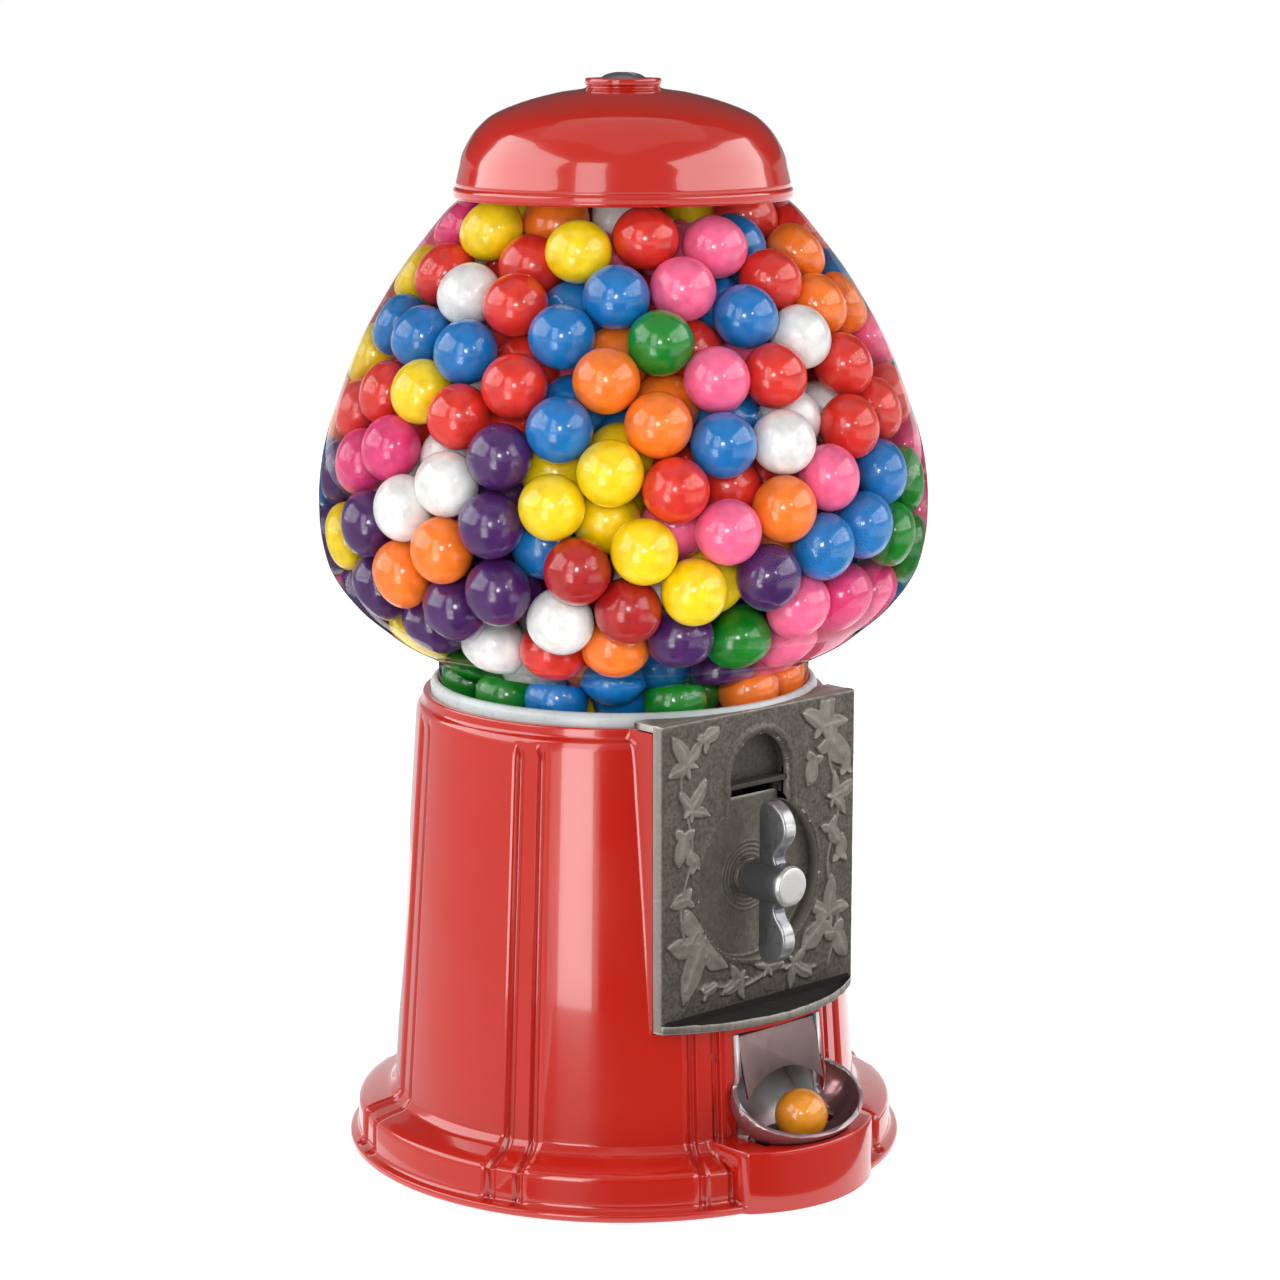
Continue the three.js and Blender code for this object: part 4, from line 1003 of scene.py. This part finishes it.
def hood():
    """The shallow scoop under the plate: a dished shelf with a thin, rough-cast upturned rim."""
    arc_r = 73.1
    centre_out = HOOD_OUT - arc_r
    limit = math.asin((PANEL_HALF - 0.2) / arc_r)
    steps = 150
    turn = np.linspace(-limit, limit, steps)
    rng = np.random.default_rng(8)
    ragged = np.convolve(rng.uniform(-1, 1, steps + 8), np.ones(5) / 5, "valid")[:steps]
    wander = np.convolve(rng.uniform(-1, 1, steps + 24), np.ones(21) / 21, "valid")[:steps]
    rim_out = arc_r - 0.45 + 0.42 * ragged.clip(-1, 1)
    rim_top = HOOD_TOP + 0.35 * ragged + 0.9 * wander
    back = PLATE_OUT - 0.9
    tip_x, tip_out = rim_out * np.sin(turn), centre_out + rim_out * np.cos(turn)
    rows = []
    for share, height, _ in HOOD_SECTION:
        out = back + (tip_out - back).clip(0.4) * share
        z = PLATE_BOTTOM + (rim_top - PLATE_BOTTOM) * height
        rows.append(np.stack([tip_x, -out, z], axis=-1))
    points = np.stack(rows)
    count = len(rows)
    faces = [tuple(f) for f in grid_faces(count, steps, wrap_rows=True)]
    ends = [tuple(np.arange(count) * steps), tuple(np.arange(count) * steps + steps - 1)]
    made = mesh_object("hood", points.reshape(-1, 3), faces + ends, 60)
    tone = np.repeat([tone for _, _, tone in HOOD_SECTION], steps).astype(np.float32)
    made.data.attributes.new("shelf", "FLOAT", "POINT").data.foreach_set("value", tone)
    return made


def face_plate():
    """The whole casting, with the tone that its material reads: pale on the leaves and, as a painted
    highlight, along the top; near black in the hollows, partly as painted shade.
    """
    whole = merged("face_plate_casting", [plate_panel(), hood(), *top_hooks(), *plate_recesses()])
    co = np.zeros(len(whole.data.vertices) * 3)
    whole.data.vertices.foreach_get("co", co)
    x, y, z = (co.reshape(-1, 3) / MM).T
    out = -y
    height, foot = relief(x, z)
    tone = np.where(out > PLATE_OUT - 0.9, height - 0.42 * foot, 0.0)
    tone = np.where(z < HOOD_TOP + 0.5, 0.0, tone)
    # Painted light: the recess floors, and the hidden back, are set to a paler tone to offset the knob's
    # shadow in its recess.
    tone = np.where(out < PLATE_OUT - 3, 0.45, tone)
    # Painted shade over the patina: the coin pocket behind the ledge is darkened as if it were in shadow.
    tone = np.where((out < KNOB_RECESS_OUT - 0.2) & (z > COIN_Z - 6), -0.55, tone)
    at_ledge = (z > LEDGE_Z[0] - 0.2) & (z < LEDGE_Z[1] + 0.2) & (np.abs(x) < COIN_R + 0.2)
    ledge_front = (out > PLATE_OUT - 2) & (out < PLATE_OUT - 0.7)
    tone = np.where(at_ledge & ledge_front, -0.7, tone)
    # Painted shade: the plate's foot, just above the hood, is painted near black.
    at_foot = (z > PLATE_BOTTOM + 0.5) & (z < HOOD_TOP + 0.9) & (np.abs(x) < PANEL_HALF - 2)
    foot_front = (out > PLATE_OUT - 1.2) & (out < PLATE_OUT + 0.6)
    tone = np.where(at_foot & foot_front, -1.0, tone)
    shelf = np.zeros(len(x), dtype=np.float32)
    whole.data.attributes["shelf"].data.foreach_get("value", shelf)
    tone = np.where(shelf != 0, shelf, tone)
    # Painted highlight: the plate's top faces up to the light from above, so its tone is set high and it is
    # painted pale.
    tone = np.where(z > PLATE_TOP - 0.3, 0.85, tone)
    stored = whole.data.attributes.new("relief", "FLOAT", "POINT")
    stored.data.foreach_set("value", tone.astype(np.float32))
    return placed(whole, "base", "pewter", PEWTER, "face_plate")


# ---------------------------------------------------------------- knob
def knob():
    """A die-cast thumb-turn: two fluted ears on a round hub, smooth all over."""
    low, high = box_mm("knob")
    base_out, tip_out = -high[1], -low[1]
    ear = [
        (71.8, 4, 2), (71.6, 26, 2), (74, 29, 2.5), (78.2, 28.6, 3), (83.2, 25.4, 3), (85.2, 20.4, 3),
        (84.2, 15.6, 3), (80.6, 12, 3), (79.4, 9, 2), (81.4, 5.4, 2),
    ]
    lower = [(out, -z, radius) for out, z, radius in reversed(ear)]
    outline = [(out, SHAFT_Z + z) for out, z in filleted(ear + lower, steps=5)]
    blade = prism("blade", outline, -2.8, 2.8, sidelong)
    blade = bevelled(blade, 1.1, 4, 40)
    hub = filleted([
        (0, base_out, 0), (6.2, base_out, 0.4), (7.2, base_out + 1.2, 0.6), (7.4, tip_out - 2.4, 1.0),
        (6.5, tip_out - 0.1, 0.7), (5.2, tip_out, 0.5), (0, tip_out, 0),
    ], closed=False)
    made = level("hub", np.vstack([hub, [[0, base_out]]]), 0, SHAFT_Z, 96)
    combine(blade, made, "UNION")
    shade(blade, 35)
    # The knob's front is painted pale: handling wear, and a painted highlight on its bright front face.
    wear_and_painted_highlight = [0.75 * (-vertex.co.y / MM > tip_out - 1.5) for vertex in blade.data.vertices]
    blade.data.attributes.new("wear_and_painted_highlight", "FLOAT", "POINT").data.foreach_set("value", wear_and_painted_highlight)
    blade.name = "knob_casting"
    return placed(blade, "knob_drive", "zinc", ZINC, "knob")


# ---------------------------------------------------------------- chute
def scoop():
    """The chute: an inclined tray into an open bowl whose rim is rolled and bright."""
    wall = 1.6
    slide_sum = 98                # the slide lies at 45 degrees, where out + z is this much
    half, top_half = SCOOP_HALF, 15
    bowl = ellipse_ball("bowl", BOWL_CENTRE, BOWL_SIZES, 128)
    rim = [(60, 52.5), (84, 39), (106, 24.6), (140, 2.4), (140, 90), (60, 90)]
    combine(bowl, prism("above_rim", rim, -50, 50, sidelong))
    inside_body = [(0, 0), (WAIST_R + 0.5, 0), (WAIST_R + 0.5, 60), (0, 60)]
    combine(bowl, turned("inner_body", inside_body, 160, closed=False))
    under = slide_sum - wall * math.sqrt(2)
    lower = [
        (50, under - 50), (74.6, under - 74.6), (84, 19.5), (86, 24), (81.6, 37), (79, 57.9), (62, 57.9),
        (50, 70),
    ]
    tray = prism("tray", lower, -half, half, sidelong)
    combine(bowl, tray, "UNION")
    combine(bowl, ellipse_ball("room", BOWL_CENTRE, [size - wall for size in BOWL_SIZES], 128))
    lower_room = [(40, slide_sum - 40), (77, slide_sum - 77), (90, slide_sum - 77), (90, 90), (40, 90)]
    combine(bowl, prism("tray_room", lower_room, wall - half, half - wall, sidelong))
    upper = [(9.2, 111.6), (9.2, under - 9.2), (52, under - 52), (56, 60), (38.2, 92), (38.2, 111.6)]
    combine(bowl, prism("upper_tray", upper, -top_half, top_half, sidelong), "UNION")
    upper_room = [
        (10.8, 120), (10.8, slide_sum - 10.8), (62, slide_sum - 62), (62, 94.6), (36.6, 94.6), (36.6, 120),
    ]
    combine(bowl, prism("upper_room", upper_room, wall - top_half, top_half - wall, sidelong))
    bowl = bevelled(bowl, 0.5, 3, 35)
    bowl.name = "chute_scoop"
    return placed(bowl, "base", "chrome", SCOOP, "chute")


def flap():
    """The sheet-metal flap: a thin leaf with an arched foot, rolled round its pin."""
    half = box_mm("chute_flap")[1][0]
    hinge_out, hinge_z = 76.2, 55.6
    foot_out, foot_z = hinge_out + 7.6, 35
    outline = [
        (hinge_out + 0.9, hinge_z + 1.75), (hinge_out + 2.0, hinge_z + 1.2), (foot_out, foot_z),
        (foot_out - 0.9, foot_z - 0.3),
    ]
    leaf = prism("leaf", outline, -half, half, sidelong)
    turn = np.radians(np.arange(0, 360, 3))
    arch = np.stack([26 * np.cos(turn), 17 + 26 * np.sin(turn)], axis=-1)
    combine(leaf, prism("arch", arch, 70, 95, frontal))
    barrel = np.array([(2 * math.cos(a), 2 * math.sin(a)) for a in np.radians(np.arange(0, 360, 10))])
    barrel = barrel + np.array([hinge_out, hinge_z])
    combine(leaf, prism("barrel", barrel, -half, half, sidelong), "UNION")
    bore = (barrel - np.array([hinge_out, hinge_z])) * 0.7 + np.array([hinge_out, hinge_z])
    combine(leaf, prism("bore", bore, -half - 1, half + 1, sidelong))
    leaf = bevelled(leaf, 0.22, 2, 35)
    leaf.name = "flap_leaf"
    return placed(leaf, "flap", "chrome", SATIN, "chute_flap")


# ---------------------------------------------------------------- pieces kept from the frame
FOUR = range(1, 5)
KEPT = {
    STEEL: ["bottom_plate", "centre_rod", "rod_washer", "rod_nut", "outlet_cover", "knob_shaft",
            "ratchet_wheel", "ratchet_pawl", "pawl_pin", "pawl_spring", "mech_plate", "coin_guide",
            "flap_pin", *[f"{name}_{i}" for name in ("plate_screw", "mech_post", "base_screw") for i in FOUR],
            "chute_screw_1", "chute_screw_2"],
    CAST_ZINC: ["wheel_housing", "coin_wheel", "drive_pinion"],
    BRASS: ["wheel_bushing", "shaft_collar"],
    NYLON: ["gumball_wheel"],
    RUBBER: ["coin_plug", *[f"foot_{i}" for i in FOUR]],
}


def dress_kept_nodes():
    for material, names in KEPT.items():
        for name in names:
            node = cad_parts[name]
            node.data.materials.clear()
            node.data.materials.append(material)
            shade(node, 30)
            edge = node.modifiers.new("edges", "BEVEL")
            edge.width = 0.15 * MM
            edge.segments = 2
            edge.limit_method = "ANGLE"
            edge.angle_limit = math.radians(35)


# ---------------------------------------------------------------- camera, lights and floor
CAMERA_AT = Vector((-0.7774, -0.8581, 0.4049))
CAMERA_ALONG = Vector((0.6629, 0.7244, -0.1893))
CAMERA_LENS = 93.2
VIEW_ANGLE = math.atan2(CAMERA_AT.x, -CAMERA_AT.y)


def camera():
    data = bpy.data.cameras.new("camera")
    data.lens = CAMERA_LENS
    data.sensor_width = 36
    made = bpy.data.objects.new("camera", data)
    made.location = CAMERA_AT
    made.rotation_mode = "QUATERNION"
    made.rotation_quaternion = CAMERA_ALONG.to_track_quat("-Z", "Y")
    bpy.context.scene.collection.objects.link(made)
    bpy.context.scene.camera = made


def softbox(name, turn, lift, distance, width, height, power):
    """A soft light at a turn (degrees from the front towards -X) and lift, facing the machine's middle."""
    data = bpy.data.lights.new(name, "AREA")
    data.shape = "RECTANGLE"
    data.size, data.size_y = width, height
    data.energy = power
    made = bpy.data.objects.new(name, data)
    a, e = math.radians(turn), math.radians(lift)
    aim = Vector((0, 0, 0.2))
    flat = math.cos(e)
    made.location = aim + distance * Vector((-math.sin(a) * flat, -math.cos(a) * flat, math.sin(e)))
    made.rotation_mode = "QUATERNION"
    made.rotation_quaternion = (aim - made.location).to_track_quat("-Z", "Y")
    made.visible_camera = made.visible_transmission = False
    bpy.context.scene.collection.objects.link(made)
    return made


def reflector(name, brightness, turns, near, far):
    """A card that only reflections see, between two turns round the machine and two (r, z) edges."""
    turn = np.radians(np.linspace(*turns, 24))
    rows = [np.stack([-r * np.sin(turn), -r * np.cos(turn), z + 0 * turn], axis=-1) for r, z in (near, far)]
    card = mesh_object(name, np.vstack(rows), grid_faces(2, len(turn)))
    shine = bpy.data.materials.new(name)
    shine.use_nodes = True
    shader = shine.node_tree.nodes["Principled BSDF"]
    shader.inputs["Base Color"].default_value = (0, 0, 0, 1)
    shader.inputs["Emission Color"].default_value = (1, 1, 1, 1)
    shader.inputs["Emission Strength"].default_value = brightness
    card.data.materials.append(shine)
    card.visible_camera = card.visible_diffuse = card.visible_shadow = card.visible_transmission = False
    return card


def lit_group(name, objects, state):
    """A light-linking set that takes in only these objects, or leaves only these out."""
    group = bpy.data.collections.new(name)
    for made in objects:
        group.objects.link(made)
    for member in group.collection_objects:
        member.light_linking.link_state = state
    return group


def studio(glass, balls):
    """Soft boxes and cards round the machine; the glass mirrors none of them, so that its contents show."""
    scene = bpy.context.scene
    world = bpy.data.worlds.new("studio")
    world.use_nodes = True
    nodes, links = world.node_tree.nodes, world.node_tree.links
    nodes["Background"].inputs["Color"].default_value = (1, 1, 1, 1)
    seen = nodes.new("ShaderNodeLightPath").outputs["Is Camera Ray"]
    level = nodes.new("ShaderNodeMapRange")
    level.inputs[3].default_value, level.inputs[4].default_value = 0.34, 1.0
    links.new(seen, level.inputs[0])
    links.new(level.outputs[0], nodes["Background"].inputs["Strength"])
    scene.world = world
    scene.view_settings.view_transform = "Standard"
    boxes = [
        softbox("left_wall", 128, 27, 1.7, 2.4, 1.3, 29),
        softbox("left_strip", 65, 20, 1.5, 0.5, 1.0, 5),
        softbox("right_high", -36, 28, 1.7, 2.5, 1.1, 25),
        softbox("overhead", 0, 89, 1.9, 2.2, 2.2, 4),
        reflector("card_dark", 0.03, (12, 54), (480, 1), (480, 215)),
        reflector("card_floor", 0.03, (-62, 75), (118, 1), (480, 1)),
        reflector("card_floor_left", 0.54, (76, 185), (112, 1), (480, 1)),
        reflector("card_streak", 5.2, (57, 73), (480, 1), (480, 215)),
        reflector("card_left", 0.54, (78, 185), (480, 1), (480, 215)),
        reflector("card_right", 0.75, (-175, -66), (480, 1), (480, 215)),
        reflector("card_back", 0.04, (160, 280), (700, 430), (420, 1100)),
    ]
    no_glass = lit_group("all_but_the_glass", [glass], "EXCLUDE")
    for box in boxes:
        box.light_linking.receiver_collection = no_glass
    balls_only = lit_group("gumballs_only", balls, "INCLUDE")
    sparks = [
        softbox("spark_near", 44, 14, 1.3, 0.24, 0.24, 6.0),
        softbox("spark_far", 14, 22, 1.3, 0.12, 0.12, 1.6),
    ]
    for box in sparks:
        box.light_linking.receiver_collection = balls_only

    look = Look("floor", roughness=0.85)
    look.colour(look.mixed(look.noise(300, 3), (0.34, 0.34, 0.34, 1), (0.36, 0.36, 0.36, 1)))
    look.set(Emission_Color=(1, 1, 1, 1), Emission_Strength=0.87)
    bpy.ops.mesh.primitive_plane_add(size=60, location=(0, 0, 0))
    floor = bpy.context.object
    floor.name = "floor"
    floor.data.materials.append(look.material)


# ---------------------------------------------------------------- the machine
camera()
body_casting()
glass = globe()
lid()
lid_nut()
seals()
balls = gumballs(VIEW_ANGLE) + [vended_ball()]
face_plate()
knob()
scoop()
flap()
dress_kept_nodes()
studio(glass, balls)
